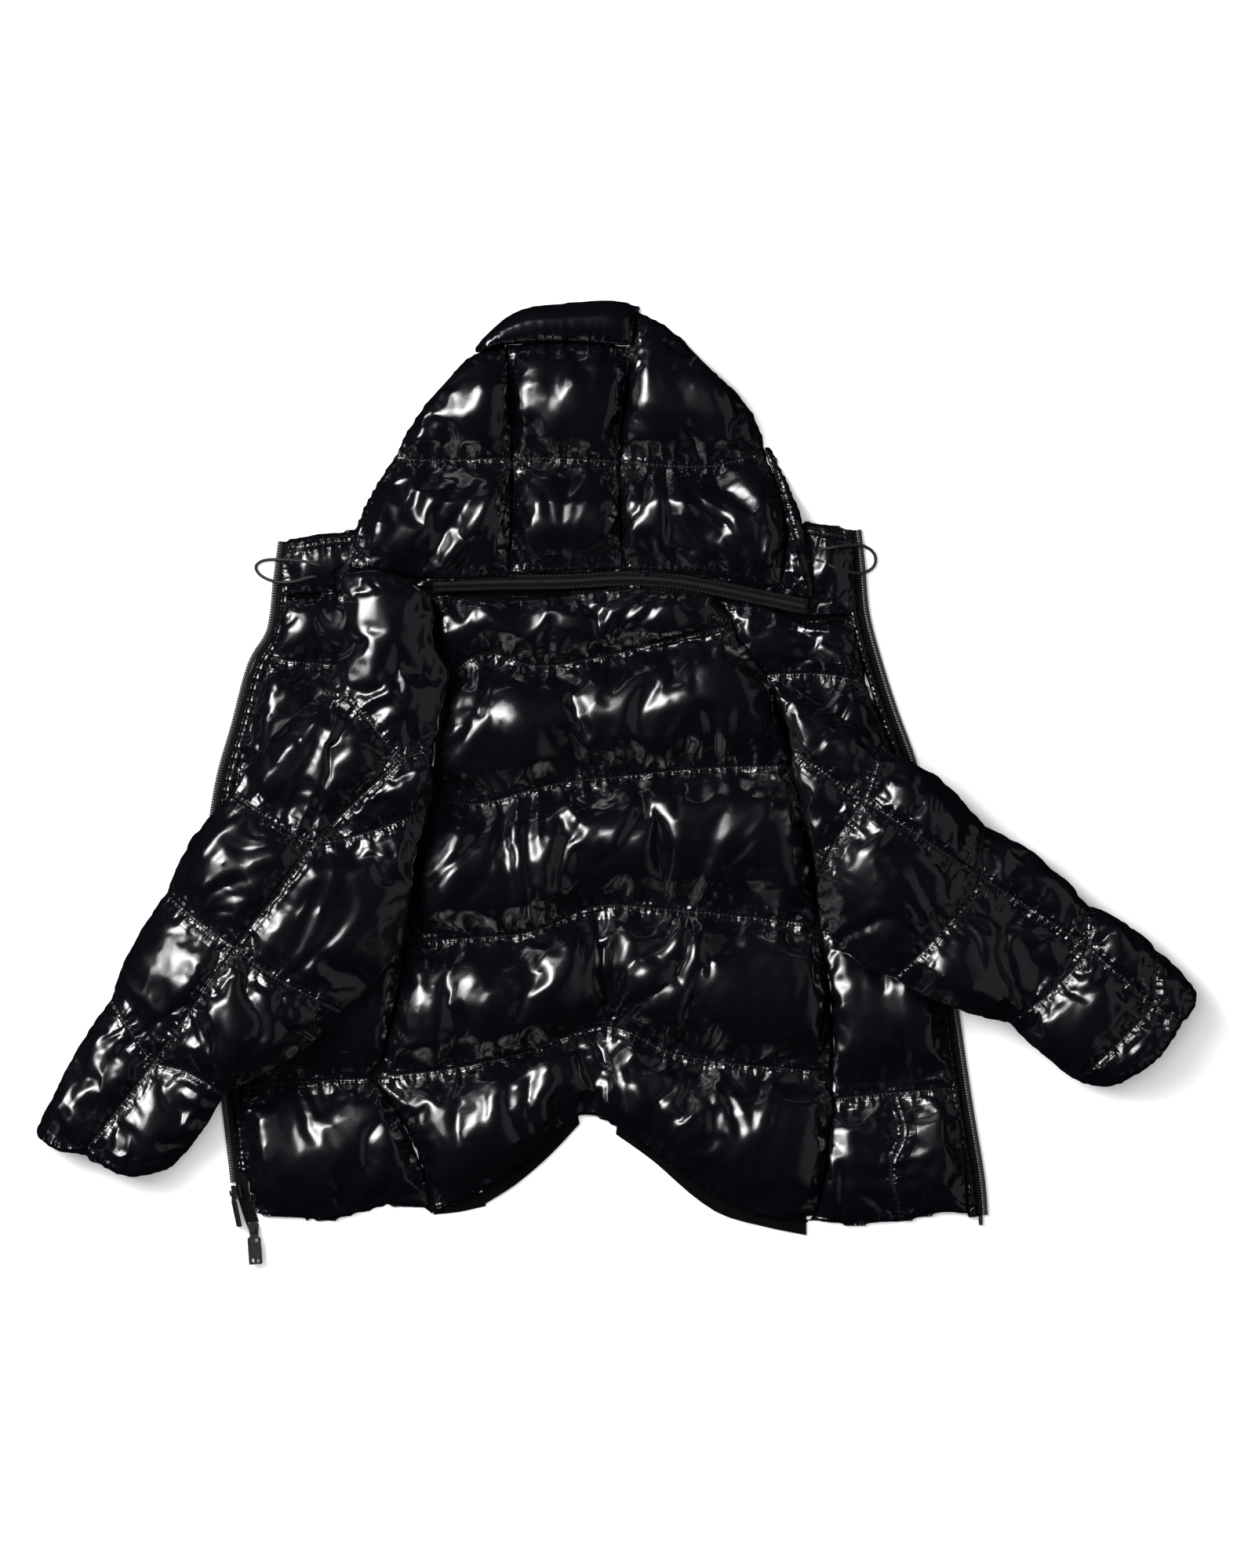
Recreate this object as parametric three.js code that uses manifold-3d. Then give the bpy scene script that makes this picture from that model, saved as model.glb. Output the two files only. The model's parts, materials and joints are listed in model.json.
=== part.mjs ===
// A hooded, padded jacket with a zip front, laid out flat on its face.
// The back and the sleeves lie uppermost. The fronts are unzipped and open out to each side.
// Millimetres. +X runs to the right sleeve as laid out, +Y runs from the hem to the hood and +Z is up.

import * as THREE from 'three';
import Module from 'manifold-3d';
import { mergeVertices } from 'three/addons/utils/BufferGeometryUtils.js';

const wasm = await Module();
wasm.setup();

// Driving dimensions of the cloth and its padding

const SEAM_THICKNESS = 4; // the padded wall where it is sewn down
const EDGE_THICKNESS = 3; // the padded wall at a free edge
const PIECE_GAP = 0.3; // between pieces that meet or lie on each other
const BACK_PUFF = 44; // height of a quilted row of the back above its seams
const FRONT_PUFF = 27;
const FRONT_PUFF_PRESSED = 15; // where a sleeve lies on the front
const COLLAR_PUFF = 17;
const COLLAR_PUFF_PRESSED = 8; // where the hood lies on the collar
const HOOD_PUFF = 40;
const BRIM_PUFF = 24;
const BAND_PUFF = 22;
const SLEEVE_HEIGHT = 50; // both layers of a sleeve, at their fullest
const SLEEVE_PUFF = 13; // quilted relief of a sleeve's upper layer
const SLEEVE_INNER_GAP = 0.7; // between the two layers of a sleeve
const SLEEVE_RIM = 38; // width of the rounding at a sleeve's folds
const SEAM_RIM = 26; // width of the rounding beside its lengthwise seam
const FACING_THICKNESS = 2.5;
const REST_GAP = 0.6; // between a piece and the highest points that carry it
const REST_RADIUS = 40; // how far a piece bridges level between the points that it rests on
const REST_SLOPE = 0.62; // how steeply it then sinks towards the floor

// Driving dimensions of the zips, the pulls and the draw cord

const TAPE_THICKNESS = 1.6;
const TAPE_WIDTH = 13;
const TEETH_WIDTH = 4;
const TEETH_HEIGHT = 3.2;
const NECK_TAPE_WIDTH = 16;
const NECK_TAPE_COIL = 3.4; // width of the raised ridge over the coil
const SLIDER_LENGTH = 15;
const SLIDER_WIDTH = 11;
const SLIDER_PLATE = 1.5;
const SLIDER_CHANNEL = TEETH_HEIGHT + 2 * PIECE_GAP;
const SLIDER_POST_WIDTH = 3;
const BRIDGE_WIDTH = 2.6;
const BRIDGE_WALL = 1.2;
const BRIDGE_OPENING = 3;
const PULL_LENGTH = 37;
const PULL_WIDTH = 14;
const PULL_THICKNESS = 1.6;
const PULL_NECK_WIDTH = 7;
const PULL_EYE_LENGTH = 4;
const PIN_WIDTH = 4;
const PIN_LENGTH = 9;
const EYELET_RADIUS = 5;
const EYELET_HOLE_RADIUS = 2.2;
const EYELET_HEIGHT = 2.4;
const POCKET_REACH = 40; // the round cutter of an eyelet's pocket stands clear of the collar
const CORD_DIAMETER = 3.2;

// Quilt lines, from left to right. Each panel has one row for each line on which it is sewn or cut.

const BACK_LINES = [
  { line: 'neck', at: [[-194, 197], [-150, 199], [-85, 198], [0, 208], [62, 206], [99, 200]] },
  { line: 'yoke', at: [[-176, 113], [-140, 139], [-83, 125], [-20, 134], [62, 154], [120, 167]] },
  { line: 'chest', at: [[-193, -14], [-143, -19], [-70, 0], [12, 10], [94, 18], [186, 21]] },
  { line: 'waist', at: [[-223, -163], [-152, -160], [-86, -153], [-20, -127], [62, -131], [213, -146]] },
  { line: 'hip', at: [[-257, -306], [-185, -299], [-102, -282], [-8, -253], [62, -282], [228, -302]] },
  {
    line: 'hem',
    at: [
      [-196, -448], [-150, -431], [-88, -392], [-33, -346], [35, -383], [105, -432], [170, -456], [210, -452],
    ],
  },
];

const BACK_ROWS = [
  { row: 'yoke', puff: 0.6, bulgeLeft: 4, bulgeRight: 4 },
  { row: 'chest', puff: 1, bulgeLeft: 6, bulgeRight: 16 },
  { row: 'waist', puff: 1, bulgeLeft: 4, bulgeRight: 6 },
  { row: 'hip', puff: 1, bulgeLeft: -6, bulgeRight: 6 },
  { row: 'hem', puff: 0.85, bulgeLeft: -14, bulgeRight: 10 },
];

const LEFT_FRONT_LINES = [
  { line: 'shoulder', at: [[-347, 196], [-316, 200], [-270, 204]] },
  { line: 'collar', at: [[-365, 134], [-330, 129], [-262, 124]] },
  { line: 'chest', at: [[-401, 8], [-316, 2], [-190, -8]] },
  { line: 'waist', at: [[-412, -156], [-316, -160], [-200, -163]] },
  { line: 'hip', at: [[-396, -320], [-332, -311], [-240, -307]] },
  { line: 'hem', at: [[-380, -450], [-332, -455], [-288, -455], [-240, -440], [-185, -448]] },
];

const RIGHT_FRONT_LINES = [
  { line: 'shoulder', at: [[104, 197], [150, 193], [199, 172], [248, 176]] },
  { line: 'collar', at: [[138, 116], [225, 116], [263, 106]] },
  { line: 'chest', at: [[170, 14], [245, 2], [303, 0]] },
  { line: 'waist', at: [[195, -153], [270, -154], [329, -154]] },
  { line: 'hip', at: [[210, -331], [285, -323], [357, -317]] },
  { line: 'hem', at: [[195, -455], [223, -460], [308, -457], [338, -448], [371, -451]] },
];

// "pressed" is the share of the full puff that is left under a sleeve.
const FRONT_ROWS = [
  { row: 'shoulder', pressed: 0.3, bulge: 2 },
  { row: 'chest', pressed: 0.5, bulge: 2 },
  { row: 'waist', pressed: 1, bulge: 2 },
  { row: 'hip', pressed: 0.6, bulge: 2 },
  { row: 'hem', pressed: 0, bulge: 3 },
];

const COLLAR_LINES = [
  { line: 'top', at: [[-347, 257], [-283, 267], [-150, 267], [0, 264], [150, 266], [199, 276], [249, 269]] },
  { line: 'neck', at: [[-352, 198], [-290, 203], [-180, 206], [0, 206], [150, 200], [200, 178], [252, 180]] },
];

const HOOD_LEFT_LINES = [
  { line: 'crown', at: [[-152, 451], [-134, 458], [-110, 463]] },
  { line: 'temple', at: [[-234, 343], [-184, 341], [-105, 344]] },
  { line: 'neck', at: [[-282, 230], [-193, 216], [-108, 220]] },
];

const HOOD_CENTRE_LINES = [
  { line: 'crown', at: [[-116, 463], [-45, 466], [20, 461]] },
  { line: 'temple', at: [[-110, 344], [-45, 342], [4, 340]] },
  { line: 'neck', at: [[-114, 221], [-53, 224], [10, 226]] },
];

const HOOD_RIGHT_LINES = [
  { line: 'crown', at: [[21, 498], [56, 479], [84, 452]] },
  { line: 'temple', at: [[-4, 340], [98, 335], [157, 350]] },
  { line: 'neck', at: [[4, 226], [90, 220], [174, 206]] },
];

const HOOD_ROWS = [
  { row: 'crown', puff: 1, bulge: 9, bulgeFace: 17 },
  { row: 'neck', puff: 0.8, bulge: 7, bulgeFace: 13 },
];

const HOOD_BAND_LINES = [
  { line: 'temple', at: [[150, 352], [162, 356]] },
  { line: 'cheek', at: [[165, 308], [183, 308]] },
  { line: 'jaw', at: [[165, 262], [196, 264]] },
  { line: 'end', at: [[166, 210], [206, 196]] },
];

const BRIM_LINES = [
  {
    line: 'face',
    at: [[-148, 458], [-117, 488], [-97, 499], [-50, 505], [-2, 508], [24, 502]],
  },
  { line: 'crown', at: [[-144, 452], [-117, 460], [-53, 463], [24, 457]] },
];

// Sleeves, one row for each cross seam. "outer" and "inner" are the folds, "seam" is the lengthwise
// seam.

const LEFT_SLEEVE_LINES = [
  {
    line: 'head',
    outer: [-287, 219],
    outerMid: [-238, 221],
    seam: [-190, 194],
    innerMid: [-180, 165],
    inner: [-168, 124],
  },
  {
    line: 'cap',
    outer: [-305, 95],
    outerMid: [-279, 89],
    seam: [-221, 30],
    innerMid: [-205, 34],
    inner: [-186, 42],
  },
  {
    line: 'elbow',
    outer: [-399, -9],
    outerMid: [-357, -36],
    seam: [-312, -59],
    innerMid: [-262, -50],
    inner: [-192, -24],
  },
  {
    line: 'forearm',
    outer: [-469, -114],
    outerMid: [-429, -145],
    seam: [-395, -169],
    innerMid: [-358, -197],
    inner: [-285, -235],
  },
  {
    line: 'wrist',
    outer: [-527, -224],
    outerMid: [-503, -261],
    seam: [-481, -288],
    innerMid: [-447, -298],
    inner: [-409, -320],
  },
  {
    line: 'cuff',
    outer: [-607, -366],
    outerMid: [-582, -382],
    seam: [-555, -384],
    innerMid: [-510, -409],
    inner: [-468, -401],
  },
];

const LEFT_SLEEVE_ROWS = [
  { row: 'head', puff: 0.5, bulgeOuter: -14, bulgeInner: 2 },
  { row: 'cap', puff: 1.1, bulgeOuter: 8, bulgeInner: 4 },
  { row: 'elbow', puff: 1, bulgeOuter: 8, bulgeInner: 34 },
  { row: 'forearm', puff: 1, bulgeOuter: 6, bulgeInner: 10 },
  { row: 'wrist', puff: 0.9, bulgeOuter: 4, bulgeInner: 4 },
];

const RIGHT_SLEEVE_LINES = [
  {
    line: 'head',
    outer: [160, 112],
    outerMid: [175, 71],
    seam: [184, 36],
    innerMid: [182, 26],
    inner: [180, 14],
  },
  {
    line: 'cap',
    outer: [274, 37],
    outerMid: [266, 9],
    seam: [257, -15],
    innerMid: [230, -55],
    inner: [208, -101],
  },
  {
    line: 'elbow',
    outer: [385, -44],
    outerMid: [380, -68],
    seam: [381, -95],
    innerMid: [335, -155],
    inner: [291, -200],
  },
  {
    line: 'forearm',
    outer: [493, -127],
    outerMid: [491, -149],
    seam: [492, -169],
    innerMid: [455, -214],
    inner: [412, -247],
  },
  {
    line: 'wrist',
    outer: [566, -174],
    outerMid: [563, -200],
    seam: [560, -228],
    innerMid: [529, -263],
    inner: [482, -308],
  },
  {
    line: 'cuff',
    outer: [609, -221],
    outerMid: [603, -234],
    seam: [590, -248],
    innerMid: [568, -284],
    inner: [525, -313],
  },
];

const RIGHT_SLEEVE_ROWS = [
  { row: 'head', puff: 0.9, bulgeOuter: 6, bulgeInner: 8 },
  { row: 'cap', puff: 1.1, bulgeOuter: 13, bulgeInner: 24 },
  { row: 'elbow', puff: 1, bulgeOuter: 10, bulgeInner: 8 },
  { row: 'forearm', puff: 0.9, bulgeOuter: 5, bulgeInner: 2 },
  { row: 'wrist', puff: 0.5, bulgeOuter: 3, bulgeInner: 3 },
];

// The largest folds of the upper surfaces. A fold runs from one point to another.

const BACK_FOLDS = [
  { fold: 'central valley', from: [-20, -135], to: [0, -255], width: 20, depth: 26 },
  { fold: 'valley to the hem notch', from: [0, -255], to: [-33, -346], width: 26, depth: 34 },
  { fold: 'left armhole drag', from: [-150, 120], to: [-120, 20], width: 18, depth: 10 },
  { fold: 'chest drag', from: [-30, 60], to: [-70, 5], width: 14, depth: 11 },
  { fold: 'waist drag', from: [-60, -10], to: [-40, -80], width: 13, depth: 11 },
  { fold: 'middle drag', from: [20, 0], to: [60, -90], width: 14, depth: 10 },
  { fold: 'left hip drag', from: [-180, -180], to: [-160, -280], width: 16, depth: 11 },
  { fold: 'right hip drag', from: [40, -160], to: [90, -240], width: 16, depth: 10 },
  { fold: 'right hem drag', from: [10, -290], to: [50, -370], width: 16, depth: 10 },
  { fold: 'left yoke fold', from: [-170, 190], to: [-135, 140], width: 15, depth: 10 },
];

const HOOD_FOLDS = [
  { fold: 'left drag', from: [-150, 430], to: [-190, 350], width: 14, depth: 8 },
  { fold: 'left neck crumple', from: [-230, 300], to: [-150, 250], width: 14, depth: 10 },
  { fold: 'centre drag', from: [-50, 440], to: [-80, 370], width: 14, depth: 9 },
  { fold: 'centre neck crumple', from: [-90, 260], to: [-10, 245], width: 12, depth: 9 },
  { fold: 'right drag', from: [60, 430], to: [100, 350], width: 15, depth: 8 },
  { fold: 'right neck crumple', from: [40, 250], to: [140, 290], width: 14, depth: 10 },
];

const SLEEVE_FOLDS = [
  { fold: 'left cap drag', from: [-280, 60], to: [-330, -10], width: 16, depth: 8 },
  { fold: 'left elbow drag', from: [-380, -40], to: [-400, -120], width: 15, depth: 8 },
  { fold: 'left forearm drag', from: [-300, -100], to: [-330, -190], width: 16, depth: 8 },
  { fold: 'left cuff drag', from: [-540, -290], to: [-560, -370], width: 14, depth: 7 },
  { fold: 'right cap drag', from: [220, 40], to: [290, -40], width: 16, depth: 7 },
  { fold: 'right elbow drag', from: [300, -60], to: [340, -130], width: 16, depth: 8 },
  { fold: 'right forearm drag', from: [430, -150], to: [440, -210], width: 14, depth: 7 },
];

// Routes of the zips, along the middle of the teeth

const LEFT_ZIP_ROUTE = [
  [-347, 256],
  [-352, 218],
  [-360, 160],
  [-378, 129],
  [-397, 61],
  [-412, 8],
  [-422, -60],
  [-424, -155],
  [-415, -250],
  [-405, -343],
  [-398, -405],
  [-396, -428],
  [-391, -446],
  [-382, -466],
  [-380, -476],
];

const RIGHT_ZIP_ROUTE = [
  [250, 268],
  [254, 233],
  [259, 179],
  [273, 126],
  [288, 79],
  [309, 20],
  [329, -70],
  [341, -155],
  [353, -240],
  [367, -335],
  [380, -415],
  [383, -452],
];

const NECK_ZIP_ROUTE = [
  [-192, 211],
  [-120, 213],
  [-53, 214],
  [12, 217],
  [64, 214],
  [119, 204],
  [200, 187],
];

// Hem facings: the outer edge that shows past the padded hem, and the inner edge under the back.

const HEM_FACINGS = [
  {
    name: 'left_hem_facing',
    edge: [[-140, -441], [-104, -418], [-67, -386], [-38, -355]],
    inner: [[-140, -400], [-106, -380], [-70, -350], [-44, -325]],
  },
  {
    name: 'right_hem_facing',
    edge: [[0, -366], [39, -394], [80, -430], [110, -450], [160, -464], [200, -472]],
    inner: [[4, -335], [45, -360], [85, -395], [115, -415], [160, -430], [200, -440]],
  },
];

// Zip sliders, their pulls and the eyelets, by place. "turn" is about the upright axis and "tilt" about
// the slider's length, in degrees.

const SLIDERS = [
  { name: 'upper_slider', pull: 'upper_pull', at: [-396, -426], turn: 12, tilt: -68 },
  { name: 'lower_slider', pull: 'lower_pull', at: [-380, -466], turn: 4, tilt: 0 },
];

const EYELETS = [
  { name: 'left_eyelet_upper', at: [-309, 230] },
  { name: 'left_eyelet_lower', at: [-313, 218] },
  { name: 'right_eyelet_upper', at: [213, 247] },
  { name: 'right_eyelet_lower', at: [209, 236] },
];

// The draw cord: one loop at each end of the collar, out of the upper eyelet and back into the lower one.
// Each place is x, y and the height of the cord's middle.

const CORD_LOOPS = [
  {
    name: 'left_cord',
    route: [
      [-309, 230, 23.4], [-309.6, 230.2, 27.2], [-313, 231.2, 29.2], [-320, 233, 28.4], [-328, 234.8, 27.4],
      [-336, 236, 22.8], [-343, 236.8, 16], [-350, 237, 10.2], [-358, 237.2, 5.6], [-367, 236.8, 3],
      [-374, 234.4, 2.1], [-377.8, 229.6, 2], [-376, 224, 2], [-371, 219.5, 2.2], [-364, 216, 4.2],
      [-356, 214.2, 8], [-347.5, 213.2, 13.8], [-339, 213.6, 20.4], [-331, 215, 25.4], [-323, 217, 28],
      [-317, 218.2, 28], [-313.4, 218.1, 25.4], [-313, 218, 21],
    ],
  },
  {
    name: 'right_cord',
    route: [
      [213, 247, 17.7], [213.4, 247.2, 22.4], [216.5, 247.7, 24.8], [222, 248.4, 25.4], [229, 249.4, 25.2],
      [236, 250.6, 20.8], [242.5, 251.6, 15.2], [249.5, 252.2, 10.2], [257, 252, 6.2], [264, 249.6, 3.4],
      [269.8, 245, 2.2], [272.6, 238.6, 2], [271.4, 231.6, 2], [266.6, 226.2, 2.4], [259.5, 223.6, 5],
      [252, 223, 10], [244.8, 223.6, 16.4], [237.5, 225.3, 22.6], [230, 227.8, 27.6], [222.5, 231, 28],
      [215, 234.6, 26.4], [210, 236, 23.4], [209, 236, 17.5],
    ],
  },
];

// Small helpers for shapes

const upright = new THREE.Vector3(0, 0, 1);

function curveThrough(points) {
  const places = points.map(([x, y]) => new THREE.Vector3(x, y, 0));
  if (places.length === 2) {
    return new THREE.LineCurve3(places[0], places[1]);
  }
  return new THREE.CatmullRomCurve3(places, false, 'centripetal');
}

function distanceToSegment(x, y, from, to) {
  const dx = to[0] - from[0];
  const dy = to[1] - from[1];
  const along = THREE.MathUtils.clamp(((x - from[0]) * dx + (y - from[1]) * dy) / (dx * dx + dy * dy), 0, 1);
  return Math.hypot(x - from[0] - along * dx, y - from[1] - along * dy);
}

// How far the folds press a point of the upper surface down.
function foldDepth(x, y, folds) {
  let depth = 0;
  for (const fold of folds) {
    const distance = distanceToSegment(x, y, fold.from, fold.to);
    depth = Math.max(depth, fold.depth * Math.exp(-((distance / fold.width) ** 2)));
  }
  return depth;
}

// The height at which a piece rests at x, y: on the floor, or on the highest points near it.
function restingHeight(x, y, carriers) {
  let height = 0;
  for (const carrier of carriers) {
    for (const point of carrier.flat()) {
      const away = Math.max(0, Math.hypot(point.x - x, point.y - y) - REST_RADIUS);
      height = Math.max(height, point.z + REST_GAP - REST_SLOPE * away);
    }
  }
  return height;
}

// A circular arc that rises from 0 at a panel's edge to 1 once the arc's width is reached.
function roundedEdge(distance, width) {
  const left = Math.max(0, 1 - distance / width);
  return Math.sqrt(1 - left * left);
}

// The places of a panel's points: a grid that runs from line to line and bulges between them.
function gridBetween(lines, { across, stepsPerRow, bulges }) {
  const curves = lines.map((line) => curveThrough(line.at));
  const grid = [];
  for (let row = 0; row < curves.length - 1; row += 1) {
    const lastStep = row === curves.length - 2 ? stepsPerRow : stepsPerRow - 1;
    for (let step = 0; step <= lastStep; step += 1) {
      const v = step / stepsPerRow;
      const swell = Math.sin(Math.PI * v);
      const places = [];
      for (let column = 0; column <= across; column += 1) {
        const u = column / across;
        const place = curves[row].getPointAt(u).lerp(curves[row + 1].getPointAt(u), v);
        places.push({ place, u, v, row, swell });
      }
      const left = places[0].place;
      const right = places[across].place;
      const outward = right.clone().sub(left).normalize();
      for (const point of places) {
        const share = 2 * point.u - 1;
        const bulge = share < 0 ? bulges[row].left * share : bulges[row].right * share;
        point.place = point.place.clone().addScaledVector(outward, bulge * Math.abs(share) * point.swell);
      }
      grid.push(places);
    }
  }
  return grid;
}

// A closed sheet between an upper and a lower grid of points of the same size.
function sheetGeometry(upper, lower) {
  const rows = upper.length;
  const columns = upper[0].length;
  const positions = [...upper.flat(), ...lower.flat()].flatMap((point) => [point.x, point.y, point.z]);
  const below = rows * columns;
  const faces = [];
  const quad = (a, b, c, d) => faces.push(a, b, c, a, c, d);
  const at = (row, column) => row * columns + column;
  for (let row = 0; row < rows - 1; row += 1) {
    for (let column = 0; column < columns - 1; column += 1) {
      const [a, b] = [at(row, column), at(row + 1, column)];
      const [c, d] = [at(row + 1, column + 1), at(row, column + 1)];
      quad(a, b, c, d);
      quad(a + below, d + below, c + below, b + below);
    }
  }
  for (let row = 0; row < rows - 1; row += 1) {
    quad(at(row, 0), at(row, 0) + below, at(row + 1, 0) + below, at(row + 1, 0));
    const end = columns - 1;
    quad(at(row + 1, end), at(row + 1, end) + below, at(row, end) + below, at(row, end));
  }
  for (let column = 0; column < columns - 1; column += 1) {
    quad(at(0, column + 1), at(0, column + 1) + below, at(0, column) + below, at(0, column));
    const end = rows - 1;
    quad(at(end, column), at(end, column) + below, at(end, column + 1) + below, at(end, column + 1));
  }
  const geometry = new THREE.BufferGeometry();
  geometry.setAttribute('position', new THREE.Float32BufferAttribute(positions, 3));
  geometry.setIndex(faces);
  return facingOutwards(geometry);
}

function signedVolume(geometry) {
  const points = geometry.getAttribute('position');
  const index = geometry.getIndex();
  const [a, b, c] = [new THREE.Vector3(), new THREE.Vector3(), new THREE.Vector3()];
  let volume = 0;
  for (let i = 0; i < index.count; i += 3) {
    a.fromBufferAttribute(points, index.getX(i));
    b.fromBufferAttribute(points, index.getX(i + 1));
    c.fromBufferAttribute(points, index.getX(i + 2));
    volume += a.dot(b.cross(c)) / 6;
  }
  return volume;
}

function facingOutwards(geometry) {
  if (signedVolume(geometry) < 0) {
    const turned = Array.from(geometry.getIndex().array);
    for (let i = 0; i < turned.length; i += 3) {
      [turned[i], turned[i + 1]] = [turned[i + 1], turned[i]];
    }
    geometry.setIndex(turned);
  }
  return geometry;
}

// Boolean cuts and joins

function solidOf(geometry) {
  const bare = geometry.clone();
  bare.deleteAttribute('normal');
  bare.deleteAttribute('uv');
  const merged = mergeVertices(bare, 1e-4);
  return new wasm.Manifold(new wasm.Mesh({
    numProp: 3,
    vertProperties: new Float32Array(merged.getAttribute('position').array),
    triVerts: new Uint32Array(merged.getIndex().array),
  }));
}

function geometryOf(solid) {
  const largest = solid.decompose().reduce((best, piece) => (piece.volume() > best.volume() ? piece : best));
  const mesh = largest.getMesh();
  const geometry = new THREE.BufferGeometry();
  geometry.setAttribute('position', new THREE.Float32BufferAttribute(mesh.vertProperties, 3));
  geometry.setIndex(Array.from(mesh.triVerts));
  return geometry;
}

function joined(geometries) {
  return geometryOf(geometries.map(solidOf).reduce((whole, solid) => whole.add(solid)));
}

function cutBy(geometry, cutters) {
  return geometryOf(cutters.map(solidOf).reduce((rest, cutter) => rest.subtract(cutter), solidOf(geometry)));
}

const PRISM_DEPTH = 400; // above and below everything

// An upright prism over a panel's outline, wider than it by the gap between pieces.
function outlinePrism(grid) {
  const rows = grid.length;
  const columns = grid[0].length;
  const border = [
    ...grid[0].slice(0, columns - 1),
    ...grid.slice(0, rows - 1).map((row) => row[columns - 1]),
    ...grid[rows - 1].slice(1).reverse(),
    ...grid.slice(1).map((row) => row[0]).reverse(),
  ].map((point) => new THREE.Vector2(point.x, point.y));
  const turn = THREE.ShapeUtils.isClockWise(border) ? -1 : 1;
  const wider = border.map((point, i) => {
    const before = border[(i + border.length - 1) % border.length];
    const after = border[(i + 1) % border.length];
    const along = after.clone().sub(before).normalize();
    return new THREE.Vector2(point.x + turn * along.y * PIECE_GAP, point.y - turn * along.x * PIECE_GAP);
  });
  const shape = new THREE.Shape(wider);
  const prism = new THREE.ExtrudeGeometry(shape, { depth: PRISM_DEPTH, bevelEnabled: false });
  return prism.translate(0, 0, -PRISM_DEPTH / 2);
}

// A padded panel: a plain lower face that rests on what lies under it, and a quilted upper face.
// "puffAt" gives the height of the quilting at a point and "rim" the width of the rounded sides.
function paddedPanel(lines, { across, stepsPerRow, bulges, puffAt, carriers = [], folds = [], rim = 30 }) {
  const grid = gridBetween(lines, { across, stepsPerRow, bulges });
  const upper = [];
  const lower = [];
  for (const places of grid) {
    const width = places[0].place.distanceTo(places[across].place);
    const tops = [];
    const bottoms = [];
    for (const { place, u, v, row } of places) {
      const base = restingHeight(place.x, place.y, carriers);
      const side = roundedEdge(Math.min(u, 1 - u) * width, rim);
      const pillow = Math.sin(Math.PI * v) ** 0.6;
      const atEdge = u === 0 || u === 1;
      const wall = atEdge ? EDGE_THICKNESS : SEAM_THICKNESS;
      const puff = puffAt({ u, v, row, x: place.x, y: place.y }) * pillow * side;
      const pressed = Math.min(puff * 0.8, foldDepth(place.x, place.y, folds) * side);
      bottoms.push(new THREE.Vector3(place.x, place.y, base));
      tops.push(new THREE.Vector3(place.x, place.y, base + wall + puff - pressed));
    }
    lower.push(bottoms);
    upper.push(tops);
  }
  return { upper, lower, geometry: sheetGeometry(upper, lower) };
}

// Colours

const GLOSSY_SHELL = { color: 0x0b0a10, roughness: 0.16, metalness: 0 };
const MATT_TAPE = { color: 0x17171a, roughness: 0.8, metalness: 0 };
const MATT_LINING = { color: 0x101013, roughness: 0.7, metalness: 0 };
const BLACK_METAL = { color: 0x121214, roughness: 0.35, metalness: 0.8 };
const CORD_BLACK = { color: 0x141416, roughness: 0.6, metalness: 0 };

const jacket = new THREE.Group();

function addPiece(name, geometry, finish, parent = jacket) {
  const mesh = new THREE.Mesh(geometry, new THREE.MeshStandardMaterial(finish));
  mesh.name = name;
  parent.add(mesh);
  return mesh;
}

// Zip tapes. The section is a flat tape with the row of teeth standing along one side of it.

function sweptStrip(route, outline, carriers, steps) {
  const corners = outline.map(([out, up]) => new THREE.Vector2(out, up));
  const section = THREE.ShapeUtils.isClockWise(corners) ? [...outline].reverse() : outline;
  const curve = curveThrough(route);
  const rings = [];
  for (let step = 0; step <= steps; step += 1) {
    const place = curve.getPointAt(step / steps);
    const along = curve.getTangentAt(step / steps);
    const sideways = new THREE.Vector3().crossVectors(upright, along).normalize();
    place.z = restingHeight(place.x, place.y, carriers);
    const ring = section.map(([out, up]) => (
      place.clone().addScaledVector(sideways, out).addScaledVector(upright, up)
    ));
    rings.push(ring);
  }
  const count = section.length;
  const faces = [];
  for (let ring = 0; ring < steps; ring += 1) {
    for (let side = 0; side < count; side += 1) {
      const a = ring * count + side;
      const b = ring * count + ((side + 1) % count);
      faces.push(a, b, b + count, a, b + count, a + count);
    }
  }
  const endOutline = section.map(([out, up]) => new THREE.Vector2(out, up));
  const endFaces = THREE.ShapeUtils.triangulateShape(endOutline, []);
  const lastRing = steps * count;
  for (const [a, b, c] of endFaces) {
    faces.push(a, c, b, lastRing + a, lastRing + b, lastRing + c);
  }
  const geometry = new THREE.BufferGeometry();
  const positions = rings.flat().flatMap((point) => [point.x, point.y, point.z]);
  geometry.setAttribute('position', new THREE.Float32BufferAttribute(positions, 3));
  geometry.setIndex(faces);
  return { geometry: facingOutwards(geometry), rings };
}

// "inward" is 1 where the cloth lies on the left of the route and -1 where it lies on the right.
function frontTapeSection(inward) {
  const teeth = TEETH_WIDTH / 2;
  return [
    [-inward * teeth, 0],
    [inward * (TAPE_WIDTH - teeth), 0],
    [inward * (TAPE_WIDTH - teeth), TAPE_THICKNESS],
    [inward * teeth, TAPE_THICKNESS],
    [inward * teeth, TEETH_HEIGHT],
    [-inward * teeth, TEETH_HEIGHT],
  ];
}

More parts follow.
